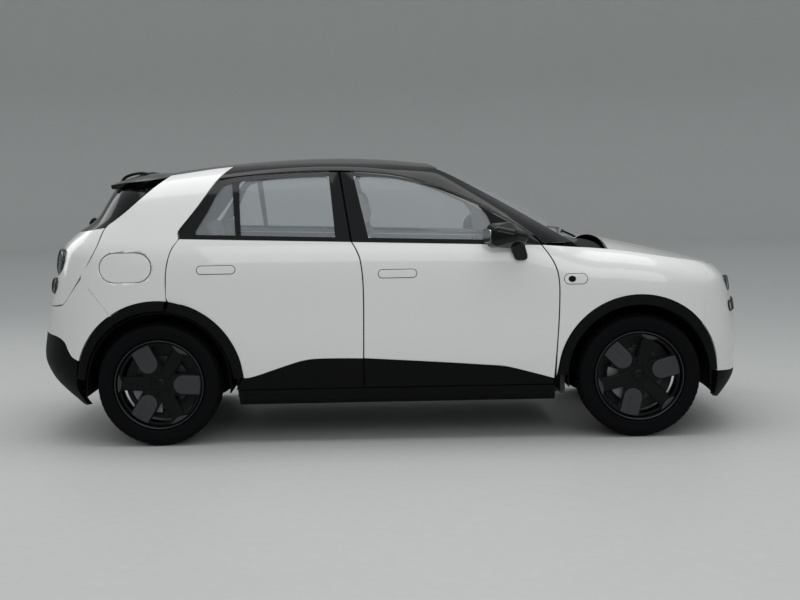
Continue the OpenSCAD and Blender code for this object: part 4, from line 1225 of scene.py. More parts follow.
@dataclass
class Wheels:
    """Wheels with their three grey covers, brakes behind them, and treaded tyres."""

    half_track: float = 765.0
    rim_lip: float = 228.0
    cover_start: float = 75.0
    cover_width: float = 104.0
    opening_reach: float = 212.0
    lugs: int = 60

    def build(self) -> None:
        """Builds the four wheels."""
        parts, tread = self.wheel_parts(), tread_graph()
        # angle of a cover above the forward direction, as each wheel has rolled
        turns = {("front", RIGHT): 15, ("rear", RIGHT): -2, ("front", LEFT): 45, ("rear", LEFT): 62}
        for (end, side), turn in turns.items():
            at = AXLE_F if end == "front" else AXLE_R
            name = f"{end}_{SIDES[side]}"

            def place(p: Grid, at: float = at, side: int = side) -> Grid:
                """Returns wheel points in the car."""
                return np.stack([at + p[:, 0], side * (self.half_track + p[:, 2]), AXLE_Z + p[:, 1]], 1)

            stand_in(assemble(f"wheel_{name}_alloy", [turned(p, turn) for p in parts], place,
                              [WHEEL_BLACK, COVER_GREY, RIM_GREY]), f"wheel_{name}")
            self.brake(name, end, side, place)
            self.tyre(name, side, at, place, tread)

    def wheel_parts(self) -> list[Part]:
        """Returns the parts of one wheel about its axle, a cover pointing along u."""
        wedge = np.concatenate([[(77.4, 58)], fan(self.opening_reach, 15.9, 49.7, 7)])
        sharp = fillet(wedge, 9.0)
        holes = [turned((np.column_stack([sharp * [1, m], np.zeros(len(sharp))]), [], 0), a)[0][:, :2]
                 for a in (0, 120, 240) for m in (1, -1)]
        half, inner = self.cover_width / 2, self.cover_start + self.cover_width / 2
        edge = self.rim_lip - 4
        top = math.degrees(math.asin(half / edge))
        cover = np.concatenate([[inner, 0] + fan(half, 90, 270, 15), fan(edge, -top, top, 7)])
        dip = self.rim_lip - 24 * np.cos(np.linspace(-1, 1, 15) * math.pi / 2) ** 0.8
        scallop = np.concatenate([fan(self.rim_lip - 0.5, -13, 13, 15), fan(dip, -13, 13, 15)[-2:0:-1]])
        blade = fillet([(46, -31), (208, -35), (216, 0), (208, 35), (46, 31)], 12)
        hexagon = fillet(circle(9.8, 6), 2.0, 2)
        made = [plate([circle(self.rim_lip + 1.5, 128), *holes], 46, 66, 3.0),
                revolve([(228, 44), (228, -87.5), (242.6, -87.5), (242.6, 86), (238, 90), (231, 86)], 128),
                revolve([(236.5, 84), (242.4, 88), (242.4, 93), (240.6, 95.5), (238.4, 95.5), (236.8, 92)],
                        128, 2),
                revolve([(0, 55), (33, 55), (33, 64), (30, 69.5), (20, 72), (0, 73)], 64)]
        for a in (0, 120, 240):
            made += [turned(plate([cover], 62, 78, 4.0, 1), a),
                     turned(moved(plate([pill(88, 5)], 77, 79.4, 1.1, 1), 168, -12), a),
                     turned(plate([blade], 60, 71, 4.0), a + 60),
                     turned(plate([scallop], 56, 84, 2.5, 1), a + 60)]
        made += [turned(moved(plate([hexagon], 60, 74, 1.5), 54, 0), a + 36) for a in range(0, 360, 72)]
        return made

    def brake(self, name: str, end: str, side: int, place: Placing) -> None:
        """Builds a wheel's brake disc, caliper and dust shield.

        Args:
            name: the wheel's name.
            end: front or rear.
            side: RIGHT or LEFT.
            place: puts wheel points in the car.
        """
        disc = assemble(f"brake_disc_{name}", [
            revolve([(76, -33), (147, -33), (147.6, -32), (147.6, -7.5), (147, -6.4), (100, -6.4), (96, -5.2),
                     (76, -5.2)],
                    96)], place, [DISC_IRON])
        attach(disc, frame["nodes"][f"wheel_{name}"]["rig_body"])
        start = 165 if end == "front" else 195
        grip = assemble(f"brake_caliper_{name}", [
            revolve([(98, -50), (166, -50), (170, -44), (170, 4), (164, 12), (98, 12), (98, -4.6),
                     (151, -4.6),
                     (151, -35), (98, -35)], 16, 0, 76, start)], place, [CAST_ALLOY])
        holder = f"knuckle_{SIDES[side]}" if end == "front" else "rear_axle"
        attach(rounded(grip, 2.5), frame["nodes"][holder]["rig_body"])
        shield = assemble(f"dust_shield_{name}", [
            revolve([(62, -55), (203, -55), (206, -53), (206, -44), (203.5, -44), (201, -51.5), (62, -51.5)],
                    96)],
            place, [CHASSIS])
        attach(shield, frame["nodes"][holder]["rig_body"])
        LOG.info("brake of wheel %s", name)

    def tyre(self, name: str, side: int, at: float, place: Placing, tread: bpy.types.NodeTree) -> None:
        """Builds one tyre: a turned carcass, then rows of lugs set round it.

        Args:
            name: the wheel's name.
            side: RIGHT or LEFT.
            at: the axle's station.
            place: puts wheel points in the car.
            tread: the node group of one row.
        """
        half = [(243, 83.5), (250, 93), (256, 99.5), (262, 102.5), (266, 101), (272, 103.6), (290, 106.4),
                (302, 107.3),
                (306, 105.9), (318, 103.2), (325.5, 96.5), (329, 86), (330.4, 62), (331, 30)]
        carcass = assemble(f"tyre_{name}_rubber",
                           [revolve(half + [(r, -w) for r, w in reversed(half)], 128)], place, [RUBBER])
        for level, radius, size in ((16, 331.2, (8.6, 26, 24)), (50, 331.0, (8.6, 25, 30)),
                                    (84, 325.6, (6, 20, 18))):
            for way in (1, -1):
                run_graph(carcass, tread, {
                    "Lugs": self.lugs + (way > 0), "Radius": radius * MM, "Lug size": [v * MM for v in size],
                    "Centre": (at * MM, (side * self.half_track + way * level) * MM, AXLE_Z * MM),
                    "Rubber": RUBBER.material()})
        stand_in(settle(carcass), f"tyre_{name}")


@dataclass
class Lamps:
    """Round head-lamp and tail-lamp clusters, as [angle round the end, height, diameter]."""

    head: tuple = ((60, 812, 92), (65.5, 690, 78), (53, 690, 66))
    tail: tuple = ((56, 1000, 150), (57, 868, 96), (66, 862, 84))
    tilt: float = 8.0

    def build(self) -> None:
        """Builds every lamp of both clusters on both sides."""
        clusters = (("head", self.head, self.head_parts, 4, [GLOSS_BLACK, REFLECTOR, DIFFUSER, LENS]),
                    ("tail", self.tail, self.tail_parts, 8, [DARK_CHROME, REFLECTOR, RED_LENS, SMOKED_LENS]))
        for side, word in SIDES.items():
            for end, lamps, parts, inset, finishes in clusters:
                for i, (angle, z, d) in enumerate(lamps):
                    place = self.placed(end == "head", angle, z, side, inset)
                    stand_in(assemble(f"{end}_lamp_{word}_{i}", parts(d / 2), place, finishes),
                             f"{end}_lamps")

    def placed(self, front: bool, angle: float, z: float, side: int, inset: float) -> Placing:
        """Returns the function that takes lamp points to their place on the nose or tail.

        Args:
            front: True for the nose.
            angle: angle round the end.
            z: height.
            side: RIGHT or LEFT.
            inset: depth of the lamp's middle below the skin.

        Returns:
            The placing function.
        """
        centre = round_end(front, np.array([[angle, z]], float), side, inset)[0]
        yaw = math.radians(side * (90 - angle) * 0.75)
        yaw = yaw if front else math.pi - yaw
        tilt = math.radians(self.tilt)
        axis = np.array([math.cos(tilt) * math.cos(yaw), math.cos(tilt) * math.sin(yaw), math.sin(tilt)])
        across = np.cross([0, 0, 1], axis)
        across /= np.linalg.norm(across)
        basis = np.stack([across, np.cross(axis, across), axis])
        return lambda p: centre + p @ basis

    @staticmethod
    def head_parts(r: float) -> list[Part]:
        """Returns bezel, bowl, projector, light ring and lens of a head lamp of radius r."""
        return [
            revolve([(r - 8, -11), (r - 0.6, -11), (r - 0.6, 9), (r - 2, 11.5), (r - 5, 12), (r - 7, 9),
                     (r - 8, 3)], 64),
            revolve([(0, -11.5), (r - 8, -11.5), (r - 8, 2), (r - 12, -2), (r * 0.5, -7), (0, -9)], 64, 1),
            revolve([(0, -9), (r * 0.36, -9), (r * 0.36, -1), (r * 0.26, 3.5), (0, 5)], 48, 3),
            revolve([(r * 0.36, -9), (r * 0.44, -9), (r * 0.44, 0), (r * 0.36, 0)], 48, 0),
            revolve([(r - 13, 0), (r - 8.5, 0), (r - 8.5, 4.5), (r - 13, 3.5)], 64, 2),
            revolve([(0, 9.6), (r * 0.6, 8.8), (r - 6, 6), (r - 6, 7.6), (r * 0.6, 10.6), (0, 11.6)], 64, 3)]

    @staticmethod
    def tail_parts(r: float) -> list[Part]:
        """Returns bezel, bowl, light ring and smoked lens of a tail lamp of radius r."""
        return [
            revolve([(r - 9, -14), (r - 0.6, -14), (r - 0.6, 12), (r - 2.5, 15.5), (r - 6, 16.5),
                     (r - 8.5, 14),
                     (r - 9, 8)], 72),
            revolve([(0, -14.5), (r - 9, -14.5), (r - 9, 4), (r - 14, -2), (r * 0.5, -8), (0, -10)], 72, 1),
            revolve([(r * 0.62, 0), (r * 0.78, 0), (r * 0.78, 7), (r * 0.7, 9), (r * 0.62, 7)], 72, 2),
            revolve([(0, -9), (r * 0.26, -9), (r * 0.24, 5), (0, 7)], 48, 2),
            revolve([(0, 13), (r * 0.6, 12.4), (r - 8.5, 9), (r - 8.5, 11), (r * 0.6, 14.6), (0, 15.4)], 72,
                    3)]


def on_side(x: float, z: float, side: int) -> Placing:
    """Returns the function that lays plate points on the body side about a side-view point."""
    def place(p: Grid) -> Grid:
        """Returns plate points on the skin, their level standing out from it."""
        return np.stack([x + p[:, 0], side * (side_y(x + p[:, 0], z + p[:, 1]) + p[:, 2]), z + p[:, 1]], 1)
    return place


def tube(path: Sequence, radius: float, n: int = 10, slot: int = 0) -> Part:
    """Makes a round rod along a path.

    Args:
        path: points [x, y, z].
        radius: its radius, or one for each point.
        n: steps round.
        slot: finish number.

    Returns:
        Points, faces and the finish number.
    """
    p = np.array(path, float)
    r = np.broadcast_to(radius, len(p))
    ahead = np.gradient(p, axis=0)
    ahead /= np.linalg.norm(ahead, axis=1)[:, None]
    across = np.cross(ahead, [0.31, 0.17, 0.93])
    across /= np.linalg.norm(across, axis=1)[:, None]
    over = np.cross(ahead, across)
    w = np.linspace(0, 2 * np.pi, n, endpoint=False)
    rings = p[:, None] + r[:, None, None] * (np.cos(w)[None, :, None] * across[:, None]
                                             + np.sin(w)[None, :, None] * over[:, None])
    return rings.reshape(-1, 3), sleeve(len(p), n), slot


def same(points: Grid) -> Grid:
    """Returns points that are already in the car's frame."""
    return points


def body_of(node: str) -> str:
    """Returns the body that a frame node rides on."""
    return frame["nodes"][node]["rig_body"]


@dataclass
class Trim:
    """Small outside pieces: handles, repeaters, wipers, spoiler fins, mirror glass and charge socket."""

    handle: tuple[float, float] = (205.0, 42.0)
    front_handle: tuple[float, float] = (42.0, 920.0)
    rear_handle: tuple[float, float] = (-934.5, 957.0)
    repeater: tuple[float, float] = (1004.0, 874.0)
    mirror: tuple[float, float, float] = (521.0, 948.0, 1116.0)
    rear_wiper_z: float = 1196.0
    fin_y: float = 190.0
    fin_stretch: float = 2.2

    def build(self) -> None:
        """Builds the small pieces of both sides, then the wipers, fins and socket."""
        length, width = self.handle
        for side, word in SIDES.items():
            for end, (x, z) in (("front", self.front_handle), ("rear", self.rear_handle)):
                # the dark rim round each handle is painted shade: a black ring standing for the shaded shut
                # gap round the flush handle
                piece = assemble(f"handle_{end}_{word}", [
                    plate([pill(length + 7, width + 7)], -2, 0.5, 0.4, 1),
                    plate([pill(length, width)], -2, 2.6, 1.8)],
                    on_side(x, z, side), [PAINT, CLADDING])
                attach(piece, body_of(f"door_{end}_{word}"))
            x, z = self.repeater
            # the dark rim round the repeater is painted shade: a black ring standing for the shaded gap round
            # it
            lamp = assemble(f"side_repeater_{word}", [
                plate([pill(130, 60)], -2, 0.5, 0.4, 1), plate([pill(124, 54)], -2, 3.0, 2.0),
                moved(plate([circle(1.0, 32) * [20.5, 17]], 1, 4.4, 1.5, 2), -21, 0)],
                on_side(x, z, side), [PAINT, CLADDING, GLOSS_BLACK])
            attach(lamp, "body")
            self.mirror_glass(side, word)
        self.wipers()
        self.spoiler_fins()
        self.charge_socket()
        LOG.info("small outside pieces")

    def mirror_glass(self, side: int, word: str) -> None:
        """Sets the reflecting glass in the back of a mirror.

        Args:
            side: RIGHT or LEFT.
            word: the side's name.
        """
        basis = np.array([[0.36, 0.933 * side, 0], [0, 0, 1], [-0.933, 0.36 * side, 0]])
        outline = fillet([(-52, -38), (50, -34), (48, 36), (-50, 42)], 26)
        glass = assemble(f"mirror_glass_{word}", [plate([outline], -4, 2, 1.0)],
                         lambda p: self.mirror * np.array([1, side, 1]) + p @ basis, [REFLECTOR])
        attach(glass, body_of(f"mirror_{word}"))

    def wipers(self) -> None:
        """Builds two windscreen wipers and the rear wiper with its round boss."""
        for i, (y, reach) in enumerate(((430.0, -560.0), (-120.0, -480.0))):
            ys = y + np.linspace(0, reach, 14)
            low = self.screen(np.full(14, 0.09) + 0.02 * np.linspace(0, 1, 14), ys)
            arm = self.screen(np.linspace(0.0, 0.09, 8), y + np.linspace(0, reach * 0.55, 8)) + [0, 0, 6]
            piece = assemble(f"wiper_{i}",
                             [tube(low + [2, 0, 7], np.r_[2, np.full(12, 5.5), 2]), tube(arm, 6.0)], same,
                             [CLADDING])
            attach(piece, "body")
        ys = np.linspace(-30, 290, 12)
        z = self.rear_wiper_z
        glass = [round_end(False, np.array([[90 - abs(y) * 0.075, z]]), LEFT, -9)[0] for y in ys]
        blade = np.array([[g[0], y, z + 8 * abs(y) / 300] for g, y in zip(glass, ys)])
        boss = revolve([(0, -40), (26, -40), (30, -10), (31, 6), (27, 19), (16, 27), (0, 29)], 40)
        aim = np.array([[0, 1, 0], [-0.62, 0, -0.78], [-0.78, 0, 0.62]])
        parts = [(np.array([-1766.0, 0.0, z]) + boss[0] @ aim, boss[1], 0),
                 tube(blade, 6.0), tube([(-1772, 0, 1202), (-1752, 60, 1200), blade[6] + [-6, 0, 3]], 7.0)]
        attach(assemble("rear_wiper", parts, same, [CLADDING]), body_of("rear_window"))

    @staticmethod
    def screen(up: Grid, ys: Grid) -> Grid:
        """Returns points on the windscreen, a share of the way up it, at distances across."""
        ends = ((1012, 276), (738, 590), (1064, 1484), (1108, 222), (1062, 1520))
        edge_x, edge_y, edge_z, mid_x, mid_z = (np.interp(up, (0, 1), pair) for pair in ends)
        v = np.abs(ys) / edge_y
        return np.stack([mid_x + (edge_x - mid_x) * v**2.2, ys, mid_z + (edge_z - mid_z) * v**2.6], 1)

    def spoiler_fins(self) -> None:
        """Builds the two low hoops on the roof spoiler."""
        for side, word in SIDES.items():
            line = along([(-1560, 1432), (-1536, 1464), (-1490, 1482), (-1440, 1489), (-1396, 1482)], 20)
            y = side * self.fin_y
            path = np.column_stack([line[:, 0], np.full(len(line), y), line[:, 1]])
            body = tube(path, np.r_[5, np.full(len(line) - 2, 9.0), 5], 12)
            flat = body[0].copy()
            flat[:, 1] = y + (flat[:, 1] - y) * self.fin_stretch
            fin = assemble(f"spoiler_fin_{word}", [(flat, body[1], 0)], same, [GLOSS_BLACK])
            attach(fin, body_of("rear_spoiler"))

    def charge_socket(self) -> None:
        """Builds the charging socket on the floor of its pocket."""
        pins = [moved(plate([circle(5.5, 20)], -30.5, -22, 1.0, 1), 24 * math.cos(a), 24 * math.sin(a))
                for a in np.linspace(0, 2 * np.pi, 7, endpoint=False)]
        lower = [moved(plate([circle(9, 24)], -30.5, -24, 1.0, 1), u, -46) for u in (-16, 16)]
        piece = assemble("charge_socket", [
            plate([fillet([(-62, -70), (62, -70), (62, 60), (-62, 60)], 30)], -33.8, -28, 2.0),
            plate([circle(40, 48), circle(34, 48)], -30, -16, 2.0), *pins, *lower],
                         on_side(*FLAP_CENTRE, RIGHT),
            [CLADDING, CAST_ALLOY])
        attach(piece, body_of("quarter_panels"))


def loft(path: Grid, half: Grid, thick: Grid, bolster: float, n: int = 32) -> tuple[Grid, list]:
    """Makes a padded form along a side-view line: crowned, with raised side bolsters and rounded ends.

    Args:
        path: side-view points [x, z] of the form's middle.
        half: half width at each point.
        thick: half thickness at each point.
        bolster: how far the sides stand out on the seating face.
        n: steps round a section.

    Returns:
        Points about the car's centre line, and faces.
    """
    ahead = np.gradient(path, axis=0)
    ahead /= np.linalg.norm(ahead, axis=1)[:, None]
    out = np.stack([-ahead[:, 1], ahead[:, 0]], 1)
    w = np.linspace(0, 2 * np.pi, n, endpoint=False)
    across = np.sign(np.cos(w)) * np.abs(np.cos(w)) ** 0.55
    rise = np.sign(np.sin(w)) * np.abs(np.sin(w)) ** 0.55
    y = half[:, None] * across[None]
    level = thick[:, None] * rise[None] + bolster * np.abs(across[None]) ** 5 * (rise[None] > 0)
    points = np.stack([path[:, :1] + level * out[:, :1], y, path[:, 1:] + level * out[:, 1:]], -1)
    return points.reshape(-1, 3), sleeve(len(path), n)


def tapered(n: int, ends: float = 0.12) -> Grid:
    """Returns shares that round a form off towards both its ends."""
    t = np.linspace(0, 1, n)
    near = np.minimum(t, 1 - t) / ends
    return np.sqrt(np.clip(1 - (1 - np.clip(near, 0, 1)) ** 2, 0.06, 1))


@dataclass
class Cushion:
    """One padded piece: a line in side view, its widths, and where its cover is sewn down."""

    name: str
    line: Sequence
    half_width: float
    half_thick: float
    bolster: float = 0.0
    channels: Sequence[float] = ()
    side_seams: Sequence[float] = ()
    voxel_mm: float = 9.0
    cap_mm: float = 16.0
    rows: int = 40
    seam_mm: float = 5.0
    pressure: float = 4.0
    frames: int = 20

    def build(self) -> Piece:
        """Returns the cushion about the car's centre line, swollen against its seams."""
        path = along(self.line, self.rows - 1)
        ends = tapered(self.rows)
        form = loft(path, self.half_width * (0.86 + 0.14 * ends), self.half_thick * ends, self.bolster)
        piece = evened(new_object(self.name, *form, [SEAT_CLOTH]), self.voxel_mm)
        rest = np.array([v.co for v in piece.data.vertices])
        share, spot = self.lay(rest, path)
        pinned = self.sewn(share, rest[:, 1] / MM)
        self.quilt(piece, rest, path, spot, pinned)
        self.swell(piece, np.flatnonzero(pinned > 0.5))
        divided(piece, 1)
        for face in piece.data.polygons:
            face.use_smooth = True
        return piece

    def lay(self, rest: Grid, path: Grid) -> tuple[Grid, Grid]:
        """Returns each point's share of the way along the line, and the nearest line point."""
        flat = rest[:, [0, 2]] / MM
        near = np.argmin(((flat[:, None] - path[None]) ** 2).sum(2), 1)
        return near / (len(path) - 1), near

    def sewn(self, share: Grid, y: Grid) -> Grid:
        """Returns 1 on the seams that hold the cover down and 0 away from them."""
        width = self.voxel_mm * 0.9
        held = np.zeros(len(y))
        length = float(np.linalg.norm(np.diff(along(self.line, 60), axis=0), axis=1).sum())
        inside = np.abs(y) < (max(self.side_seams) if self.side_seams else self.half_width)
        reach = max(width, length / self.rows * 0.6)
        for c in self.channels:
            held = np.maximum(held, (np.abs(share - c) * length < reach) & inside)
        for s in self.side_seams:
            held = np.maximum(held, np.abs(np.abs(y) - s) < width)
        return held.astype(float)

    def quilt(self, piece: Piece, rest: Grid, path: Grid, spot: Grid, held: Grid) -> None:
        """Draws the sewn seams into the padding.

        Args:
            piece: the remeshed cushion.
            rest: its points.
            path: side-view points of its line.
            spot: number of the line point nearest to each point.
            held: 1 on the seams.
        """
        middle = np.stack([path[spot, 0], rest[:, 1] / MM, path[spot, 1]], 1) * MM
        inward = middle - rest
        reach = np.linalg.norm(inward, axis=1)[:, None]
        moved_in = rest + inward / np.maximum(reach, 1e-6) * np.minimum(self.seam_mm * MM,
                                                                        reach * 0.3) * held[:, None]
        piece.data.vertices.foreach_set("co", moved_in.ravel())

    def swell(self, piece: Piece, pins: Grid) -> None:
        """Blows the cover up with a cloth simulation and keeps the capped result.

        Args:
            piece: the remeshed cushion.
            pins: numbers of the points that are sewn down.
        """
        scene = bpy.context.scene
        before = np.array([v.co for v in piece.data.vertices])
        group = piece.vertex_groups.new(name="sewn")
        group.add([int(i) for i in pins], 1.0, "REPLACE")
        cloth = piece.modifiers.new("cover", "CLOTH")
        cloth.settings.use_pressure = True
        cloth.settings.uniform_pressure_force = self.pressure
        cloth.settings.effector_weights.gravity = 0.0
        cloth.settings.vertex_group_mass = "sewn"
        cloth.settings.quality = 4
        cloth.collision_settings.use_collision = False
        cloth.point_cache.frame_start, cloth.point_cache.frame_end = 1, self.frames
        for f in range(1, self.frames + 1):
            scene.frame_set(f)
        graph = bpy.context.evaluated_depsgraph_get()
        mesh = piece.evaluated_get(graph).to_mesh()
        after = np.array([v.co for v in mesh.vertices])
        piece.evaluated_get(graph).to_mesh_clear()
        piece.modifiers.clear()
        piece.vertex_groups.clear()
        scene.frame_set(1)
        step = np.nan_to_num(after - before)
        far = np.linalg.norm(step, axis=1)[:, None]
        kept = before + step * np.minimum(1, self.cap_mm * MM / np.maximum(far, 1e-9))
        piece.data.vertices.foreach_set("co", kept.ravel())
        LOG.info("%s swelled by up to %.0f mm", self.name, min(self.cap_mm, far.max() / MM))


def copied(piece: Piece, name: str, y: float) -> Piece:
    """Returns a copy of a piece shifted across the car, its place in its mesh."""
    mesh = piece.data.copy()
    mesh.transform(Matrix.Translation((0, y * MM, 0)))
    return linked(name, mesh)


@dataclass
class Cabin:
    """Seats, head restraints, dashboard, controls, carpet and door cards."""

    seat_y: float = 360.0
    rear_rest_y: float = 300.0

    def build(self) -> None:
        """Builds the seats, then the dashboard and the linings."""
        self.front_seats()
        self.bench()
        self.dashboard()
        self.linings()

    def front_seats(self) -> None:
        """Builds one front seat and sets it on both sides."""
        cushions = [
            Cushion("cushion", [(415, 470), (300, 492), (140, 478), (20, 486)], 226, 52, 24, (0.3, 0.55, 0.8),
                    (140,)).build(),
            Cushion("back", [(-28, 545), (-75, 720), (-118, 900), (-165, 1100)], 222, 44, 26,
                    (0.25, 0.5, 0.75),
                    (135,)).build(),
            Cushion("rest", [(-146, 1172), (-168, 1262), (-186, 1350)], 122, 40, 6, (), (), 8.0, 10.0,
                    26).build()]
        outline = fillet([(425, 330), (430, 440), (20, 432), (-60, 470), (-165, 900), (-225, 1110),
                          (-195, 930), (-150, 500), (-130, 330)], 24)
        foot = fillet([(60, 256.5), (360, 256.5), (350, 335), (70, 335)], 10)
        shell = [stood(plate([outline], -215, 215, 14.0)), stood(plate([foot], -188, 188, 6.0))]
        posts = [tube([(-176, y, 1080), (-172, y, 1190)], 6.0, 12, 1) for y in (-60.0, 60.0)]
        for side, word in SIDES.items():
            for piece in cushions:
                made = copied(piece, f"front_seat_{piece.name}_{word}", side * self.seat_y)
                stand_in(made, "front_seats")
            hard = assemble(f"front_seat_shell_{word}", shell + posts,
                            lambda p, y=side * self.seat_y: p + [0, y, 0], [SEAT_BACKER, CAST_ALLOY])
            stand_in(hard, "front_seats")
        for piece in cushions:
            bpy.data.objects.remove(piece)

    def bench(self) -> None:
        """Builds the rear bench with its two head restraints."""
        wide = Cushion("rear_bench_cushion", [(-425, 470), (-560, 495), (-700, 478), (-800, 486)], 520, 54, 8,
                       (0.35, 0.7), (180, 470), 11.0).build()
        tall = Cushion("rear_bench_back", [(-822, 545), (-868, 720), (-914, 880), (-968, 1000)], 518, 44, 8,
                       (0.3, 0.6), (180, 470), 11.0).build()
        for piece in (wide, tall):
            stand_in(piece, "rear_bench")
        rest = Cushion("rest", [(-974, 1044), (-996, 1126), (-1012, 1206)], 116, 36, 5, (), (), 8.0, 10.0,
                       26).build()
        for side, word in SIDES.items():
            made = copied(rest, f"rear_head_rest_{word}", side * self.rear_rest_y)
            stand_in(made, "rear_bench")
        bpy.data.objects.remove(rest)
        outline = fillet([(-410, 330), (-415, 430), (-700, 440), (-830, 460), (-930, 800), (-1000, 1010),
                          (-1024, 1000),
                          (-1012, 800), (-912, 474), (-884, 474), (-842, 330)], 14)
        shell = stood(plate([outline], -540, 540, 10.0))
        posts = [tube([(-1000, y, 960), (-998, y, 1060)], 6.0, 12, 1) for y in (-360.0, -240.0, 240.0, 360.0)]
        hard = assemble("rear_bench_shell", [shell, *posts], same, [SEAT_BACKER, CAST_ALLOY])
        stand_in(hard, "rear_bench")

    def dashboard(self) -> None:
        """Builds the dashboard with its screens and vents, and the steering wheel."""
        stand_in(smoothed("dashboard", CABIN, 0, 7.0), "dashboard")
        stand_in(smoothed("steering_wheel", GRIP, 1, 0.0, 50.0), "steering_wheel")
        lean = math.radians(14)
        basis = np.array([[0, 1, 0], [math.sin(lean), 0, math.cos(lean)],
                          [-math.cos(lean), 0, math.sin(lean)]])

        def facing(x: float, y: float, z: float) -> Placing:
            """Returns the function that stands a plate up facing the seats."""
            return lambda p: np.array([x, y, z]) + p @ basis

        for name, width, height, spot in (("centre_screen", 330, 200, (575, 0, 1000)),
                                          ("driver_display", 230, 90, (600, 360, 1030))):
            parts = [plate([panel(width, height, 16)], -9, 5, 3.0),
                     plate([panel(width - 14, height - 14, 10)], 4, 5.8, 0.5, 1),
                     moved(plate([pill(80, 34)], -60, -6, 4.0), 0, -height / 2 + 18)]
            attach(assemble(name, parts, facing(*spot), [GRIP, SCREEN]), "body")
        for y in (-640, -210, 210, 640):
            slots = [moved(plate([pill(120, 5)], 1, 4, 1.0, 1), 0, v) for v in (-12, -4, 4, 12)]
            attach(assemble(f"air_vent_{y + 640}", [plate([pill(136, 40)], -20, 2, 2.0), *slots],
                             facing(588, y, 950), [GRIP, CHASSIS]), "body")
        LOG.info("dashboard with screens and vents")

    def linings(self) -> None:
        """Builds the carpet, the load mat and the door cards."""
        for name, corners, z in (
                ("carpet", [(-825, -640), (900, -640), (900, 640), (-825, 640)], 256.4),
                ("load_mat", [(-1500, -540), (-1040, -540), (-1040, 540), (-1500, 540)], 470.4)):
            mat = assemble(name, [plate([fillet(corners, 30)], 0, 5, 1.5)], lambda p, z=z: p + [0, 0, z],
                           [CARPET])
            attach(mat, "body")
        for side, word in SIDES.items():
            for end, corners, arm in (("front", [(-60, 480), (800, 470), (790, 960), (-90, 1010)],
                                       (250, 760)),
                                      ("rear", [(-720, 520), (-230, 500), (-250, 1000), (-1010, 1030),
                                                (-960, 800)],
                                       (-560, 790))):
                x, z = np.mean(corners, 0)
                local = np.array(corners, float) - [x, z]
                rest = moved(plate([pill(420, 64)], -128, -70, 20.0, 1), arm[0] - x, arm[1] - z)
                card = assemble(f"door_card_{end}_{word}",
                                [plate([fillet(local, 60)], -76, -61, 6.0), rest], on_side(x, z, side),
                                [CABIN, SEAT_CLOTH])
                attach(card, body_of(f"door_{end}_{word}"))


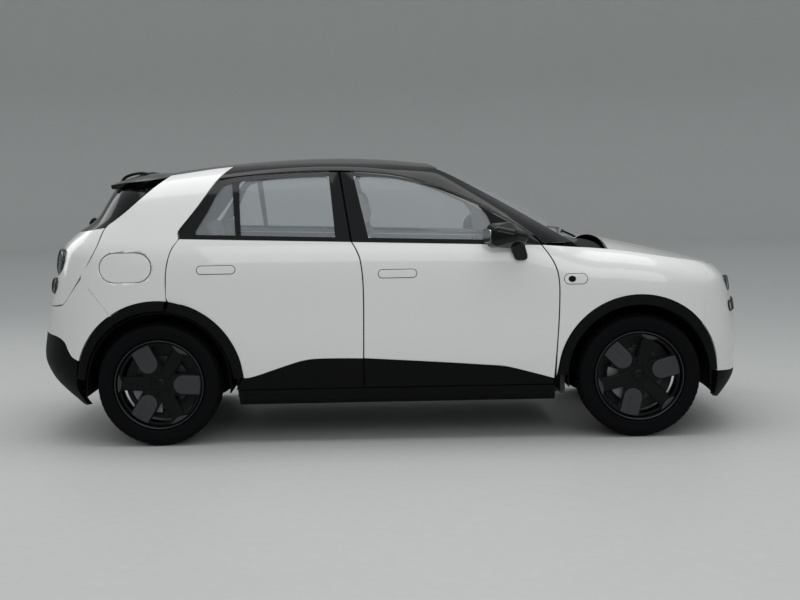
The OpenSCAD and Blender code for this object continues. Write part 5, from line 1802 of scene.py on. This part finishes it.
@dataclass
class Studio:
    """Camera at the photograph's angle, soft lights, pale round floor and wall."""

    camera_at: tuple[float, float, float] = (-0.0178, -7.9545, 1.4150)
    yaw: float = -0.570
    pitch: float = 5.155
    roll: float = -1.026
    focal_px: float = 1317.7
    width_px: float = 800.0
    sensor_mm: float = 36.0
    floor_radius: float = 22000.0
    bend_radius: float = 4000.0
    wall_height: float = 9000.0
    world_light: float = 0.72

    def build(self) -> None:
        """Builds the camera, the backdrop and the lights."""
        self.camera()
        self.backdrop()
        self.lights()
        bpy.context.scene.view_settings.view_transform = "Standard"

    def camera(self) -> None:
        """Makes the camera and makes it the scene's."""
        a, p, r = (math.radians(v) for v in (self.yaw, self.pitch, self.roll))
        right, up = Vector((math.cos(a), math.sin(a), 0)), Vector((0, 0, 1))
        ahead = up.cross(right)
        look, lift = ahead * math.cos(p) - up * math.sin(p), up * math.cos(p) + ahead * math.sin(p)
        across, over = right * math.cos(r) + lift * math.sin(r), lift * math.cos(r) - right * math.sin(r)
        data = bpy.data.cameras.new("photo_camera")
        data.sensor_width = self.sensor_mm
        data.lens = self.focal_px / self.width_px * self.sensor_mm
        made = linked("photo_camera", data)
        made.matrix_world = Matrix((
            (across.x, over.x, -look.x, self.camera_at[0]), (across.y, over.y, -look.y, self.camera_at[1]),
            (across.z, over.z, -look.z, self.camera_at[2]), (0, 0, 0, 1)))
        bpy.context.scene.camera = made

    def backdrop(self) -> None:
        """Makes one round sheet that is the floor and, curving up far away, the wall on every side."""
        bow = self.bend_radius
        bend = [(self.floor_radius + bow * math.sin(t), bow - bow * math.cos(t))
                for t in np.linspace(0.0, math.pi / 2, 12)]
        line = [(2500.0, 0.0), (8000.0, 0.0), *bend, (self.floor_radius + bow, self.wall_height)]
        n, turns = len(line), 96
        points = [(r * math.cos(w), r * math.sin(w), z - 0.5)
                  for w in np.linspace(0, 2 * math.pi, turns, endpoint=False)
                  for r, z in line]
        faces = [(i * n + j, i * n + j + 1, (i + 1) % turns * n + j + 1, (i + 1) % turns * n + j)
                 for i in range(turns) for j in range(n - 1)]
        sheet = new_object("studio_sweep", points, faces + [tuple(i * n for i in range(turns))],
                           [Finish("pale_studio_floor", "C4C6C4", Pattern.CAST, 60.0, 0.5, bump=0.03,
                                   shift=0.05)])

    def lights(self) -> None:
        """Makes the ceiling panel, two side fills and a low world light."""
        world = bpy.data.worlds.new("studio_world")
        world.use_nodes = True
        glow = world.node_tree.nodes["Background"].inputs
        glow[0].default_value, glow[1].default_value = linear("DDE0E2"), self.world_light
        bpy.context.scene.world = world
        for name, place, aim, size, power in (
                ("ceiling_panel", (0.0, -0.6, 6.0), (0.0, 0.0, 0.0), (7.0, 5.0), 190.0),
                ("front_fill", (1.0, -7.0, 3.4), (0.0, 0.0, 0.8), (6.0, 3.0), 85.0),
                ("rear_fill", (-6.0, 3.0, 3.0), (0.0, 0.0, 0.8), (3.0, 3.0), 40.0)):
            data = bpy.data.lights.new(name, "AREA")
            data.shape, data.size, data.size_y, data.energy = "RECTANGLE", size[0], size[1], power
            lamp = linked(name, data)
            lamp.location = place
            lamp.rotation_euler = (Vector(aim) - Vector(place)).to_track_quat("-Z", "Y").to_euler()


def main() -> None:
    """Builds the sub-assemblies in order, then the studio."""
    logging.basicConfig(level=logging.INFO, format="%(message)s")
    for assembly in (BodyShell(), Wheels(), Lamps(), Trim(), Cabin(), Studio()):
        LOG.info("building %s", type(assembly).__name__)
        assembly.build()


if __name__ == "__main__":
    main()
